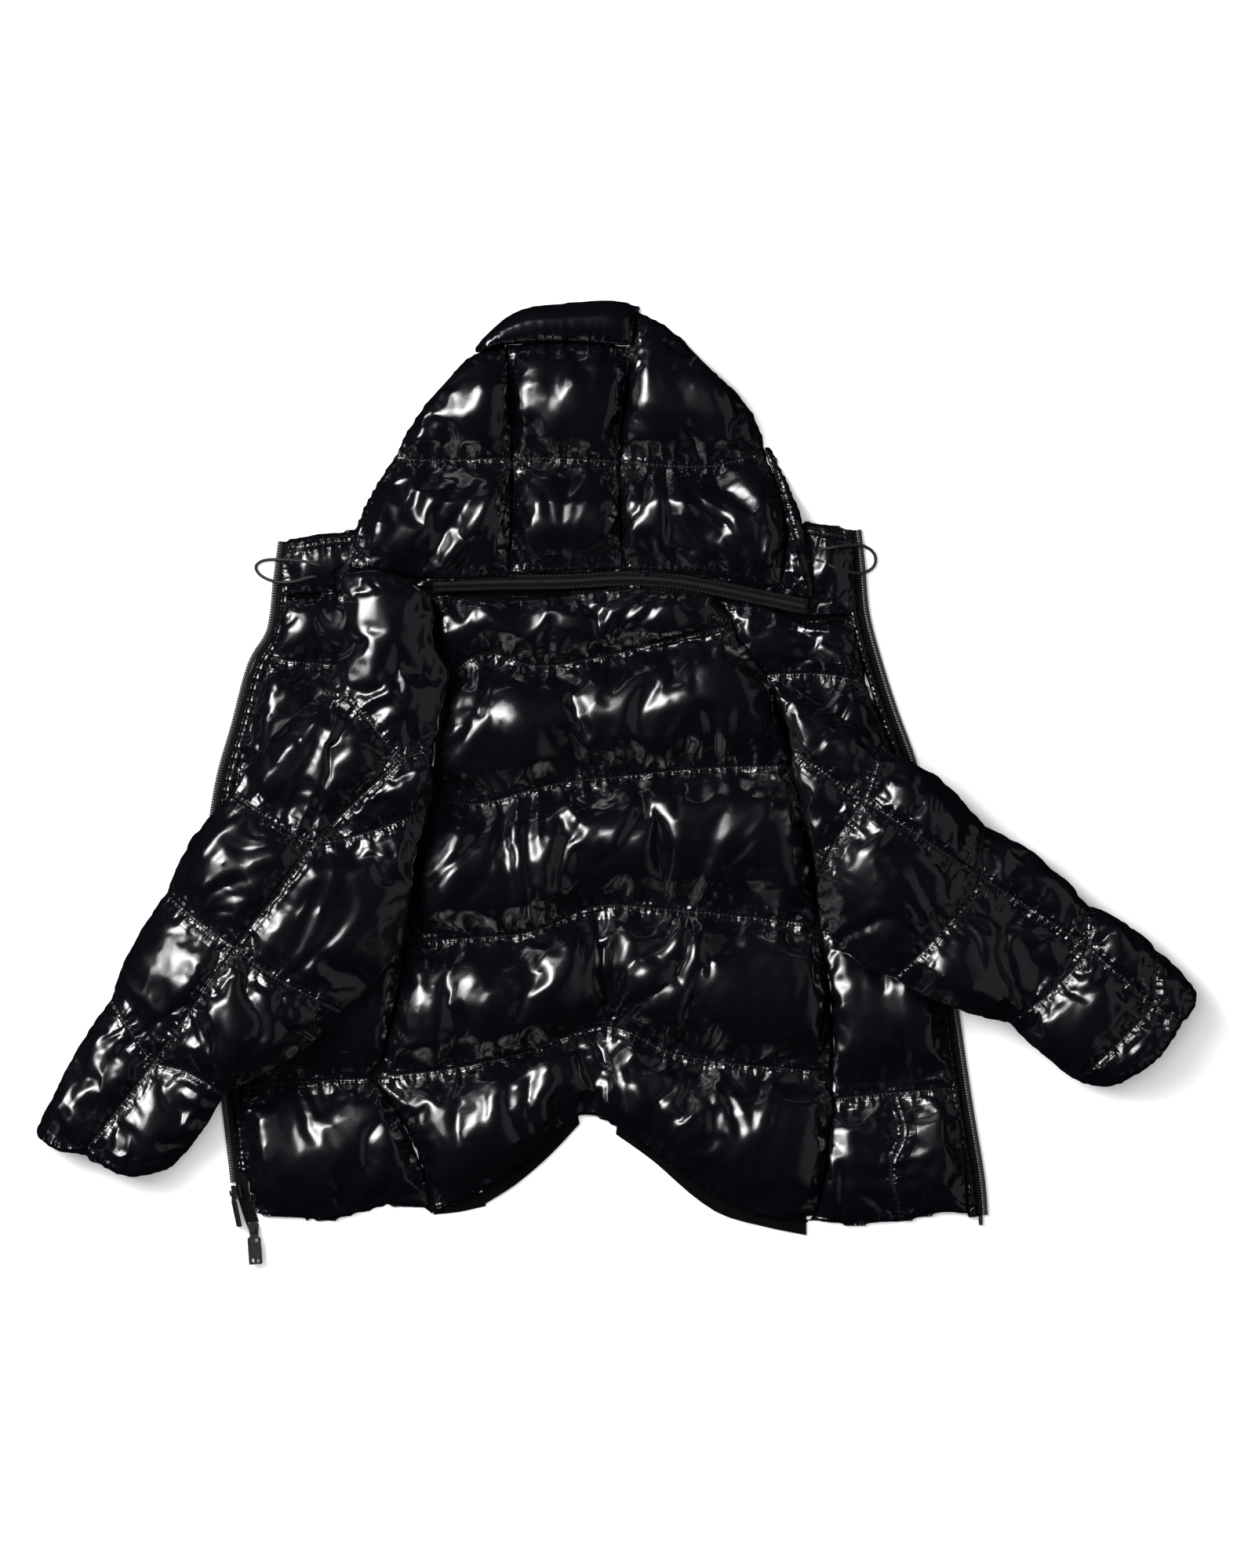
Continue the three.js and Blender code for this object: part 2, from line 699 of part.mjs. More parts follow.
const TAPE_STEPS = 30;
const leftTape = sweptStrip(LEFT_ZIP_ROUTE, frontTapeSection(1), [], TAPE_STEPS);
const rightTape = sweptStrip(RIGHT_ZIP_ROUTE, frontTapeSection(-1), [], TAPE_STEPS);
const heightInRing = (point, ring) => point.z - Math.min(...ring.map((other) => other.z));
const tapeTops = (tape) => tape.rings.map((ring) => ring.filter((point) => heightInRing(point, ring) > 1));
const flatOfTape = (tape) => tape.rings.map((ring) => (
  ring.filter((point) => heightInRing(point, ring) < TAPE_THICKNESS + 0.1)
));

// The fronts

function puffOfFront(openSide) {
  return ({ u, row, y }) => {
    const towardsBody = openSide === 'left' ? u : 1 - u;
    const pressed = FRONT_ROWS[row].pressed * THREE.MathUtils.smoothstep(towardsBody, 0.1, 0.5);
    const all = THREE.MathUtils.lerp(FRONT_PUFF, FRONT_PUFF_PRESSED, pressed);
    return y > 130 ? Math.min(all, COLLAR_PUFF) : all;
  };
}

function frontPanel(lines, openSide, tape) {
  const bulges = FRONT_ROWS.map((row) => ({ left: row.bulge, right: row.bulge }));
  return paddedPanel(lines, {
    across: 7,
    stepsPerRow: 4,
    bulges,
    puffAt: puffOfFront(openSide),
    carriers: [tapeTops(tape)],
    rim: 22,
  });
}

const leftFront = frontPanel(LEFT_FRONT_LINES, 'left', leftTape);
const rightFront = frontPanel(RIGHT_FRONT_LINES, 'right', rightTape);

// The collar, full at its two ends and pressed flat in the middle under the hood

const collar = paddedPanel(COLLAR_LINES, {
  across: 24,
  stepsPerRow: 4,
  bulges: [{ left: 0, right: 0 }],
  puffAt: ({ x }) => {
    const leftShows = THREE.MathUtils.smoothstep(-x, 240, 290);
    const rightShows = THREE.MathUtils.smoothstep(x, 185, 225);
    const showing = Math.max(leftShows, rightShows);
    return THREE.MathUtils.lerp(COLLAR_PUFF_PRESSED, COLLAR_PUFF, showing);
  },
  carriers: [tapeTops(leftTape), tapeTops(rightTape)],
  rim: 18,
});

// The neck zip, on the lower edge of the collar

function neckTapeSection() {
  const half = NECK_TAPE_WIDTH / 2;
  const coil = NECK_TAPE_COIL / 2;
  return [
    [-half, 0],
    [half, 0],
    [half, TAPE_THICKNESS],
    [coil, TAPE_THICKNESS],
    [coil * 0.6, TAPE_THICKNESS + 1.2],
    [-coil * 0.6, TAPE_THICKNESS + 1.2],
    [-coil, TAPE_THICKNESS],
    [-half, TAPE_THICKNESS],
  ];
}

const neckTape = sweptStrip(NECK_ZIP_ROUTE, neckTapeSection(), [collar.upper], 18);

// The hood

const onCollar = [collar.upper, flatOfTape(neckTape)];

function hoodPanel(lines, across, faceSide) {
  const bulges = HOOD_ROWS.map((row) => ({
    left: faceSide === 'left' ? row.bulge : 0,
    right: faceSide === 'right' ? row.bulgeFace : 0,
  }));
  return paddedPanel(lines, {
    across,
    stepsPerRow: 5,
    bulges,
    puffAt: ({ row }) => HOOD_PUFF * HOOD_ROWS[row].puff,
    carriers: onCollar,
    folds: HOOD_FOLDS,
    rim: 34,
  });
}

const hoodCentre = hoodPanel(HOOD_CENTRE_LINES, 7, 'none');
const hoodLeft = hoodPanel(HOOD_LEFT_LINES, 8, 'left');
const hoodRight = hoodPanel(HOOD_RIGHT_LINES, 9, 'right');

const brim = paddedPanel(BRIM_LINES, {
  across: 14,
  stepsPerRow: 5,
  bulges: [{ left: 0, right: 0 }],
  puffAt: () => BRIM_PUFF,
  rim: 24,
});

// The band is one unsewn roll that swells from the temple down to its end, so the pillow of each
// row that paddedPanel gives is taken out again.
function bandPuff(row, v) {
  const rowPillow = Math.max(0.25, Math.sin(Math.PI * v) ** 0.6);
  const swell = (row + v + 0.4) / HOOD_BAND_LINES.length;
  return (0.8 * BAND_PUFF * swell) / rowPillow;
}

const hoodBand = paddedPanel(HOOD_BAND_LINES, {
  across: 4,
  stepsPerRow: 3,
  bulges: [0, 2, 3].map((right) => ({ left: 0, right })),
  puffAt: ({ v, row }) => bandPuff(row, v),
  carriers: onCollar,
  rim: 16,
});

// The hem facings and the back

function facingGeometry({ edge, inner }) {
  const outer = curveThrough(edge);
  const under = curveThrough(inner);
  const steps = 14;
  const level = (height) => [under, outer].map((curve) => (
    Array.from({ length: steps + 1 }, (unused, i) => curve.getPointAt(i / steps).setZ(height))
  ));
  const upper = level(FACING_THICKNESS);
  return { upper, geometry: sheetGeometry(upper, level(0)) };
}

const facings = HEM_FACINGS.map((facing) => ({ name: facing.name, ...facingGeometry(facing) }));

const back = paddedPanel(BACK_LINES, {
  across: 22,
  stepsPerRow: 4,
  bulges: BACK_ROWS.map((row) => ({ left: row.bulgeLeft, right: row.bulgeRight })),
  puffAt: ({ row }) => BACK_PUFF * BACK_ROWS[row].puff,
  carriers: [...onCollar, ...facings.map((facing) => facing.upper)],
  folds: BACK_FOLDS,
  rim: 46,
});

// The sleeves. The two halves of the upper layer meet at the lengthwise seam, and the under layer
// spans from fold to fold. At each fold the layers meet halfway up.

const SLEEVE_COLUMNS = 5;

// One half of the upper layer, with the points of the under layer that lie below it.
function sleeveHalf(lines, rows, half, carriers) {
  const columns = half === 'outer' ? ['outer', 'outerMid', 'seam'] : ['seam', 'innerMid', 'inner'];
  const across = SLEEVE_COLUMNS;
  const bulges = rows.map((row) => ({
    left: half === 'outer' ? row.bulgeOuter : 0,
    right: half === 'inner' ? row.bulgeInner : 0,
  }));
  const cut = lines.map((line) => ({ line: line.line, at: columns.map((column) => line[column]) }));
  const layers = { upper: [], lower: [], underTop: [], underBottom: [] };
  for (const places of gridBetween(cut, { across, stepsPerRow: 4, bulges })) {
    const width = places[0].place.distanceTo(places[across].place);
    const heights = places.map(({ place, u, v, row }) => {
      const fromFold = (half === 'outer' ? u : 1 - u) * width;
      const fromSeam = width - fromFold;
      const lens = roundedEdge(fromFold, SLEEVE_RIM);
      const middle = restingHeight(place.x, place.y, carriers) + SLEEVE_HEIGHT / 2;
      const pillow = Math.sin(Math.PI * v) ** 0.6 * roundedEdge(Math.min(fromSeam, fromFold), SEAM_RIM);
      const relief = SLEEVE_PUFF * rows[row].puff * pillow;
      const pressed = Math.min(foldDepth(place.x, place.y, SLEEVE_FOLDS) * pillow, relief);
      const layer = EDGE_THICKNESS + (SLEEVE_HEIGHT / 2 - EDGE_THICKNESS - SLEEVE_INNER_GAP / 2) * lens;
      return {
        upper: middle + SLEEVE_INNER_GAP / 2 + layer - SEAM_THICKNESS * lens + relief - pressed,
        lower: middle + SLEEVE_INNER_GAP / 2,
        underTop: middle - SLEEVE_INNER_GAP / 2,
        underBottom: middle - SLEEVE_INNER_GAP / 2 - layer,
      };
    });
    for (const [name, grid] of Object.entries(layers)) {
      grid.push(places.map(({ place }, i) => new THREE.Vector3(place.x, place.y, heights[i][name])));
    }
  }
  return layers;
}

function addSleeve(side, lines, rows, carriers, neighbours) {
  const outer = sleeveHalf(lines, rows, 'outer', carriers);
  const inner = sleeveHalf(lines, rows, 'inner', carriers);
  const bothHalves = (name) => outer[name].map((row, i) => [...row, ...inner[name][i].slice(1)]);
  const seamCut = outlinePrism(outer.upper);
  const outerSheet = sheetGeometry(outer.upper, outer.lower);
  const innerSheet = sheetGeometry(inner.upper, inner.lower);
  const underSheet = sheetGeometry(bothHalves('underTop'), bothHalves('underBottom'));
  addPiece(`${side}_sleeve_outer`, cutBy(outerSheet, neighbours), GLOSSY_SHELL);
  addPiece(`${side}_sleeve_inner`, cutBy(innerSheet, [seamCut, ...neighbours]), GLOSSY_SHELL);
  addPiece(`${side}_sleeve_under`, cutBy(underSheet, neighbours), GLOSSY_SHELL);
}

// Eyelets, each set into a round pocket in the collar, and the cords that come out of them

function heightOn(mesh, x, y) {
  mesh.updateMatrixWorld(true);
  const ray = new THREE.Raycaster(new THREE.Vector3(x, y, 500), new THREE.Vector3(0, 0, -1));
  mesh.material.side = THREE.DoubleSide;
  return ray.intersectObject(mesh)[0].point.z;
}

function eyeletGeometry() {
  const inside = EYELET_HOLE_RADIUS;
  const outside = EYELET_RADIUS;
  const half = EYELET_HEIGHT / 2;
  const profile = [
    [inside, -half * 0.6],
    [inside + 0.8, -half],
    [outside, -half],
    [outside - 0.6, half * 0.5],
    [inside + 1, half],
    [inside, -half * 0.6],
  ].map(([radius, height]) => new THREE.Vector2(radius, height));
  return mergedLathe(profile, 14);
}

function mergedLathe(profile, segments) {
  const lathe = new THREE.LatheGeometry(profile, segments).rotateX(Math.PI / 2);
  lathe.deleteAttribute('normal');
  lathe.deleteAttribute('uv');
  return facingOutwards(mergeVertices(lathe, 1e-4));
}

function cordGeometry(route) {
  const path = new THREE.CatmullRomCurve3(route.map((place) => new THREE.Vector3(...place)));
  const sides = 8;
  const corners = Array.from({ length: sides }, (unused, i) => {
    const angle = (2 * Math.PI * i) / sides;
    return new THREE.Vector2(Math.cos(angle), Math.sin(angle)).multiplyScalar(CORD_DIAMETER / 2);
  });
  const steps = Math.round(path.getLength() / (2 * CORD_DIAMETER));
  const shape = new THREE.Shape(corners);
  return new THREE.ExtrudeGeometry(shape, { steps, extrudePath: path, bevelEnabled: false });
}

// Zip sliders: two plates with the teeth between them, a post that parts the teeth, and a bridge
// that holds the pull. The slider's length runs along Y and the teeth pass beside the post.

const AXIS_HEIGHT = SLIDER_CHANNEL + SLIDER_PLATE + BRIDGE_OPENING / 2; // above the channel's floor

function box(width, length, height, x, y, z) {
  return new THREE.BoxGeometry(width, length, height).translate(x, y, z);
}

function shieldPlate(height) {
  const halfWidth = SLIDER_WIDTH / 2;
  const halfLength = SLIDER_LENGTH / 2;
  const shape = new THREE.Shape();
  shape.moveTo(-halfWidth, halfLength * 0.5);
  shape.quadraticCurveTo(-halfWidth, halfLength, -halfWidth * 0.45, halfLength);
  shape.lineTo(halfWidth * 0.45, halfLength);
  shape.quadraticCurveTo(halfWidth, halfLength, halfWidth, halfLength * 0.5);
  shape.lineTo(halfWidth * 0.72, -halfLength);
  shape.lineTo(-halfWidth * 0.72, -halfLength);
  shape.closePath();
  const plate = new THREE.ExtrudeGeometry(shape, { depth: height, bevelEnabled: false, curveSegments: 4 });
  return mergeVertices(plate.deleteAttribute('normal').deleteAttribute('uv'), 1e-4);
}

function sliderGeometry() {
  const lowerPlate = shieldPlate(SLIDER_PLATE).translate(0, 0, -SLIDER_PLATE);
  const upperPlate = shieldPlate(SLIDER_PLATE).translate(0, 0, SLIDER_CHANNEL);
  const postX = -TEETH_WIDTH / 2 - PIECE_GAP - SLIDER_POST_WIDTH / 2;
  const postLength = SLIDER_LENGTH / 3;
  const postY = SLIDER_LENGTH / 4;
  const post = box(SLIDER_POST_WIDTH, postLength, SLIDER_CHANNEL + 1, postX, postY, SLIDER_CHANNEL / 2);
  const deck = SLIDER_CHANNEL + SLIDER_PLATE;
  const reach = BRIDGE_OPENING / 2 + BRIDGE_WALL / 2;
  const legHeight = BRIDGE_OPENING + BRIDGE_WALL;
  const root = 0.4; // how far the bridge's legs and the post reach into the plates
  const legMiddle = deck + (legHeight - root) / 2;
  const legs = [-reach, reach].map((y) => box(BRIDGE_WIDTH, BRIDGE_WALL, legHeight + root, 0, y, legMiddle));
  const span = BRIDGE_OPENING + 2 * BRIDGE_WALL;
  const top = box(BRIDGE_WIDTH, span, BRIDGE_WALL, 0, 0, deck + BRIDGE_OPENING + BRIDGE_WALL / 2);
  return joined([lowerPlate, upperPlate, post, ...legs, top]);
}

// The pull hangs from the axis at its origin and lies along -Y. Its eye goes round the bridge.
function pullGeometry() {
  const neck = PULL_NECK_WIDTH / 2;
  const half = PULL_WIDTH / 2;
  const top = PULL_THICKNESS / 2;
  const eyeEnd = top + PULL_EYE_LENGTH + 1;
  const shoulder = eyeEnd + 3.5;
  const foot = PULL_LENGTH - top;
  const shape = new THREE.Shape();
  shape.moveTo(-neck, top);
  shape.lineTo(-neck, -eyeEnd);
  shape.lineTo(-half, -shoulder);
  shape.lineTo(-half, -foot + 1.2);
  shape.quadraticCurveTo(-half, -foot, -half + 1.2, -foot);
  shape.lineTo(half - 1.2, -foot);
  shape.quadraticCurveTo(half, -foot, half, -foot + 1.2);
  shape.lineTo(half, -shoulder);
  shape.lineTo(neck, -eyeEnd);
  shape.lineTo(neck, top);
  shape.closePath();
  const windows = [
    { x: 0, y: -top - PULL_EYE_LENGTH / 2, width: 4, height: PULL_EYE_LENGTH },
    { x: 2.5, y: -shoulder - 1.7, width: 3, height: 3.6 },
    { x: -2.4, y: -foot + 4.2, width: 2.2, height: 3.6 },
    { x: 2.7, y: -foot + 3.7, width: 2.2, height: 3.6 },
  ];
  for (const { x, y, width, height } of windows) {
    const hole = new THREE.Path();
    hole.moveTo(x - width / 2, y - height / 2);
    hole.lineTo(x - width / 2, y + height / 2);
    hole.lineTo(x + width / 2, y + height / 2);
    hole.lineTo(x + width / 2, y - height / 2);
    hole.closePath();
    shape.holes.push(hole);
  }
  const thickness = { depth: PULL_THICKNESS, bevelEnabled: false, curveSegments: 3 };
  const plate = new THREE.ExtrudeGeometry(shape, thickness);
  return plate.translate(0, 0, -PULL_THICKNESS / 2);
}

function sliderPlacement({ at, turn, tilt }) {
  const lift = tilt === 0 ? SLIDER_PLATE + 0.2 : SLIDER_WIDTH / 2 + 0.8;
  const turned = new THREE.Euler(0, THREE.MathUtils.degToRad(tilt), THREE.MathUtils.degToRad(turn), 'ZYX');
  const rotation = new THREE.Quaternion().setFromEuler(turned);
  const place = new THREE.Vector3(at[0], at[1], lift);
  return new THREE.Matrix4().compose(place, rotation, new THREE.Vector3(1, 1, 1));
}

// The space that a slider takes, with the gap round it, for cutting the tape that it runs on.
function sliderSpace(slider) {
  const height = SLIDER_CHANNEL + 2 * SLIDER_PLATE + 2 * PIECE_GAP;
  const width = SLIDER_WIDTH + 2 * PIECE_GAP;
  const length = SLIDER_LENGTH + 2 * PIECE_GAP;
  return box(width, length, height, 0, 0, SLIDER_CHANNEL / 2).applyMatrix4(sliderPlacement(slider));
}

function addSlider(slider) {
  const holder = new THREE.Group();
  holder.applyMatrix4(sliderPlacement(slider));
  jacket.add(holder);
  addPiece(slider.name, sliderGeometry(), BLACK_METAL, holder);
  addPiece(slider.pull, pullGeometry(), BLACK_METAL, holder).position.set(0, 0, AXIS_HEIGHT);
}

// The whole jacket

const backPrism = outlinePrism(back.upper);
const centrePrism = outlinePrism(hoodCentre.upper);
const leftFrontPrism = outlinePrism(leftFront.upper);
const rightFrontPrism = outlinePrism(rightFront.upper);
const hoodPrisms = [hoodLeft, hoodRight, hoodCentre, hoodBand].map((panel) => outlinePrism(panel.upper));

addPiece('back', back.geometry, GLOSSY_SHELL);
facings.forEach((facing) => addPiece(facing.name, facing.geometry, MATT_LINING));
const besideFronts = [backPrism, ...facings.map((facing) => outlinePrism(facing.upper))];
addPiece('left_front', cutBy(leftFront.geometry, besideFronts), GLOSSY_SHELL);
addPiece('right_front', cutBy(rightFront.geometry, besideFronts), GLOSSY_SHELL);

const collarPlain = cutBy(collar.geometry, [leftFrontPrism, rightFrontPrism]);
const plainCollarMesh = new THREE.Mesh(collarPlain, new THREE.MeshStandardMaterial());
const eyeletSeats = EYELETS.map(({ name, at }) => (
  { name, at, height: heightOn(plainCollarMesh, at[0], at[1]) }
));
const pockets = eyeletSeats.map(({ at, height }) => {
  const radius = EYELET_RADIUS + PIECE_GAP;
  const floor = height - EYELET_HEIGHT / 2 - PIECE_GAP;
  const pocket = new THREE.CylinderGeometry(radius, radius, POCKET_REACH, 16).rotateX(Math.PI / 2);
  return pocket.translate(at[0], at[1], floor + POCKET_REACH / 2);
});
addPiece('collar', cutBy(collarPlain, pockets), GLOSSY_SHELL);
for (const { name, at, height } of eyeletSeats) {
  addPiece(name, eyeletGeometry(), BLACK_METAL).position.set(at[0], at[1], height);
}

addPiece('hood_centre', hoodCentre.geometry, GLOSSY_SHELL);
addPiece('hood_left', cutBy(hoodLeft.geometry, [centrePrism]), GLOSSY_SHELL);
addPiece('hood_right', cutBy(hoodRight.geometry, [centrePrism]), GLOSSY_SHELL);
addPiece('hood_brim', cutBy(brim.geometry, hoodPrisms.slice(0, 3)), GLOSSY_SHELL);
addPiece('hood_band', cutBy(hoodBand.geometry, [hoodPrisms[1]]), GLOSSY_SHELL);

addPiece('neck_zip', neckTape.geometry, MATT_TAPE);
addPiece('left_zip', cutBy(leftTape.geometry, SLIDERS.map(sliderSpace)), MATT_TAPE);
addPiece('right_zip', rightTape.geometry, MATT_TAPE);
const [pinX, pinTop] = RIGHT_ZIP_ROUTE.at(-1);
const pinMiddle = pinTop - PIECE_GAP - PIN_LENGTH / 2;
addPiece('zip_pin', box(PIN_WIDTH, PIN_LENGTH, TEETH_HEIGHT, pinX, pinMiddle, TEETH_HEIGHT / 2), BLACK_METAL);

const underSleeves = [leftFront, rightFront, collar].map((panel) => panel.upper);
underSleeves.push(...[leftTape, rightTape, neckTape].map(tapeTops));
const besideSleeves = [backPrism, ...hoodPrisms];
addSleeve('left', LEFT_SLEEVE_LINES, LEFT_SLEEVE_ROWS, underSleeves, besideSleeves);
addSleeve('right', RIGHT_SLEEVE_LINES, RIGHT_SLEEVE_ROWS, underSleeves, besideSleeves);

SLIDERS.forEach(addSlider);

// The origin: the middle of the underside's box, without the cords

jacket.updateMatrixWorld(true);
const extent = new THREE.Box3().setFromObject(jacket);
const middle = extent.getCenter(new THREE.Vector3());
jacket.position.set(-middle.x, -middle.y, -extent.min.z);
CORD_LOOPS.forEach(({ name, route }) => addPiece(name, cordGeometry(route), CORD_BLACK));

export default jacket;
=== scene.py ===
# %% [markdown]
# # A hooded puffer jacket, laid flat on its face
#
# The jacket lies on a pale table with its back up. The fronts are unzipped and opened out to each
# side, and the hood is zipped to the collar. The solids of every piece come in first, as a fixed
# frame in metres, and each finished piece takes the place of the solid that it stands for.

import json
import math

import bmesh
import bpy
import numpy as np
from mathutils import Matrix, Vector, kdtree
from mathutils.bvhtree import BVHTree

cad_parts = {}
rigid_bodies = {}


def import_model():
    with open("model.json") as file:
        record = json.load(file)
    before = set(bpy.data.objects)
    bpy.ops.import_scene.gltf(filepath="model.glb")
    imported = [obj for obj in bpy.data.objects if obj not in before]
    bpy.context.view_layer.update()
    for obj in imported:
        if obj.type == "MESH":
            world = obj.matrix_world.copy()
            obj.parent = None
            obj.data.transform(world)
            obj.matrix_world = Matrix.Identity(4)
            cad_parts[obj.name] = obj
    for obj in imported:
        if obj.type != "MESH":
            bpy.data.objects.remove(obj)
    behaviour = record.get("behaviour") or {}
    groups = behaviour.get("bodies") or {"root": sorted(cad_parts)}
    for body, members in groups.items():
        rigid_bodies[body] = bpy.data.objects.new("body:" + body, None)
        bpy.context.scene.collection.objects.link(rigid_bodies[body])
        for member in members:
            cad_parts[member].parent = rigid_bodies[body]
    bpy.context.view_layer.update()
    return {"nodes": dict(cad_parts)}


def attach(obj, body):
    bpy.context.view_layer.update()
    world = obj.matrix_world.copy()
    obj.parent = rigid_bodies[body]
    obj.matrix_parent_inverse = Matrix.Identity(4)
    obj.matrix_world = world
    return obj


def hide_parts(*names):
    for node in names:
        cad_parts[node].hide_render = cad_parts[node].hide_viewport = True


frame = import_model()
nodes = frame["nodes"]

# %% [markdown]
# ## Camera
#
# The jacket was seen from straight above. A real photographer would stand on a ladder with a long
# lens, because a long lens keeps the outline free of perspective. The picture is 1600 by 1999 pixels
# and shows 0.82 mm in each pixel, so its long side covers 1.64 m of the table.

# %% Camera straight above
PIXEL_SIZE = 0.00082
PICTURE_HEIGHT = 1999 * PIXEL_SIZE
PICTURE_CENTRE = (0.0113, -0.0012)
SENSOR = 36.0
LENS = 150.0
CLOTH_HEIGHT = 0.03  # the middle height of the jacket, where the scale holds

camera_data = bpy.data.cameras.new("camera")
camera_data.sensor_width = SENSOR
camera_data.lens = LENS
camera = bpy.data.objects.new("camera", camera_data)
camera.location = (*PICTURE_CENTRE, CLOTH_HEIGHT + PICTURE_HEIGHT * LENS / SENSOR)
bpy.context.collection.objects.link(camera)
bpy.context.scene.camera = camera
print("camera height:", round(camera.location.z, 3))

# %% [markdown]
# ## Draw cord
#
# A thin braided cord pokes out of two eyelets at each end of the collar and makes a loose loop. It is
# a round cord of 3.2 mm. A curve with a round bevel is the natural way to make it: its route is the
# cord's own middle line, so its length can be measured along the curve.

# %% Cords, made from their routes
def in_frame(x, y, z=0.0):
    """A place on the pattern table, in millimetres, as a place in the frame, in metres."""
    return Vector(((x - 1.0) / 1000, (y - 2.867) / 1000, z / 1000))


CORD_DIAMETER = 0.0032
CORD_BEVEL_STEPS = 3
TUBE_STEPS = 6  # pieces of tube between two places of its route
CORD_ROUTES = {
    "left_cord": [
        (-309, 230, 23.4), (-309.6, 230.2, 27.2), (-313, 231.2, 29.2), (-320, 233, 28.4),
        (-328, 234.8, 27.4), (-336, 236, 22.8), (-343, 236.8, 16), (-350, 237, 10.2),
        (-358, 237.2, 5.6), (-367, 236.8, 3), (-374, 234.4, 2.1), (-377.8, 229.6, 2),
        (-376, 224, 2), (-371, 219.5, 2.2), (-364, 216, 4.2), (-356, 214.2, 8),
        (-347.5, 213.2, 13.8), (-339, 213.6, 20.4), (-331, 215, 25.4), (-323, 217, 28),
        (-317, 218.2, 28), (-313.4, 218.1, 25.4), (-313, 218, 21),
    ],
    "right_cord": [
        (213, 247, 17.7), (213.4, 247.2, 22.4), (216.5, 247.7, 24.8), (222, 248.4, 25.4),
        (229, 249.4, 25.2), (236, 250.6, 20.8), (242.5, 251.6, 15.2), (249.5, 252.2, 10.2),
        (257, 252, 6.2), (264, 249.6, 3.4), (269.8, 245, 2.2), (272.6, 238.6, 2),
        (271.4, 231.6, 2), (266.6, 226.2, 2.4), (259.5, 223.6, 5), (252, 223, 10),
        (244.8, 223.6, 16.4), (237.5, 225.3, 22.6), (230, 227.8, 27.6), (222.5, 231, 28),
        (215, 234.6, 26.4), (210, 236, 23.4), (209, 236, 17.5),
    ],
}


def draw_tube(name, places, radius, bevel_steps):
    """A round tube through the places, as a mesh with its own UV map, and its length."""
    curve = bpy.data.curves.new(name, "CURVE")
    curve.dimensions = "3D"
    curve.bevel_depth = radius
    curve.bevel_resolution = bevel_steps
    curve.resolution_u = TUBE_STEPS
    curve.use_fill_caps = True
    spline = curve.splines.new("BEZIER")
    spline.bezier_points.add(len(places) - 1)
    for point, place in zip(spline.bezier_points, places):
        point.co = place
        point.handle_left_type = point.handle_right_type = "AUTO"
    tube = bpy.data.objects.new(name, curve)
    bpy.context.collection.objects.link(tube)
    length = spline.calc_length()
    bpy.ops.object.select_all(action="DESELECT")
    tube.select_set(True)
    bpy.context.view_layer.objects.active = tube
    bpy.ops.object.convert(target="MESH")
    return bpy.context.object, length


cords = []
for name, route in CORD_ROUTES.items():
    places = [tuple(in_frame(*place)) for place in route]
    cord, length = draw_tube(f"{name}_loop", places, CORD_DIAMETER / 2, CORD_BEVEL_STEPS)
    cords.append(cord)
    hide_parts(name)
    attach(cord, "root")
    print(name, "length in mm:", round(length * 1000, 1))

# %% [markdown]
# ## Table and light
#
# The shell is so glossy that its look is mostly the shape of what it reflects. One large white softbox
# at the upper left, brighter in its middle where the bulb sits, makes crisp white patches on every slope
# that faces it. A dim, broad fill at the right gives the dark grey. Glossy cloth that faces the camera
# has nothing to mirror and stays black, because the soft light straight above, which makes the table
# pale, is one that gloss doesn't show.

# %% Plain pale table
FLOOR_SIZE = 8.0
FLOOR_HEIGHT = -0.0005  # just under the cloth, so that the two never share a surface
bpy.ops.object.select_all(action="DESELECT")
bpy.ops.mesh.primitive_plane_add(size=FLOOR_SIZE, location=(0, 0, FLOOR_HEIGHT))
floor = bpy.context.object
floor.name = "table_top"
floor_material = bpy.data.materials.new("pale_table")
floor_material.use_nodes = True
floor_shader = floor_material.node_tree.nodes["Principled BSDF"]
floor_shader.inputs["Base Color"].default_value = (0.86, 0.86, 0.87, 1)
floor_shader.inputs["Roughness"].default_value = 0.85
floor_shader.inputs["Specular IOR Level"].default_value = 0.1
floor.data.materials.append(floor_material)
floor.visible_glossy = False  # the gloss then mirrors a dark room, as over a black studio table

# %% Softboxes
def softbox(name, place, size, power, glossy=True, aim=(0, 0, 0)):
    """A rectangle of light at a place, its power in watts, turned towards its aim."""
    light = bpy.data.lights.new(name, "AREA")
    light.shape = "RECTANGLE"
    light.size, light.size_y = size
    light.energy = power
    lamp = bpy.data.objects.new(name, light)
    lamp.location = place
    lamp.rotation_euler = (Vector(aim) - Vector(place)).to_track_quat("-Z", "Y").to_euler()
    lamp.visible_glossy = glossy
    bpy.context.collection.objects.link(lamp)


softbox("key_softbox", (-2.0, 1.15, 2.5), (2.0, 1.8), 112)
softbox("key_core", (-1.9, 1.09, 2.37), (0.9, 0.8), 36)
softbox("fill_wall", (2.3, 0.1, 1.15), (4.2, 2.2), 5.2, aim=(0, 0.1, 0.6))
softbox("table_light", (0, 0, 3.4), (4.2, 4.2), 150, glossy=False)

world = bpy.data.worlds.new("dark_room")
world.use_nodes = True
world.node_tree.nodes["Background"].inputs["Color"].default_value = (0.0035, 0.0035, 0.0045, 1)
bpy.context.scene.world = world
bpy.context.scene.view_settings.view_transform = "Standard"

# %% [markdown]
# ## Finishes
#
# Each finish is a small node tree. Its pattern reads the surface's own coordinates in metres, so a
# scale can be thought of as the number of threads or wrinkles in a metre.

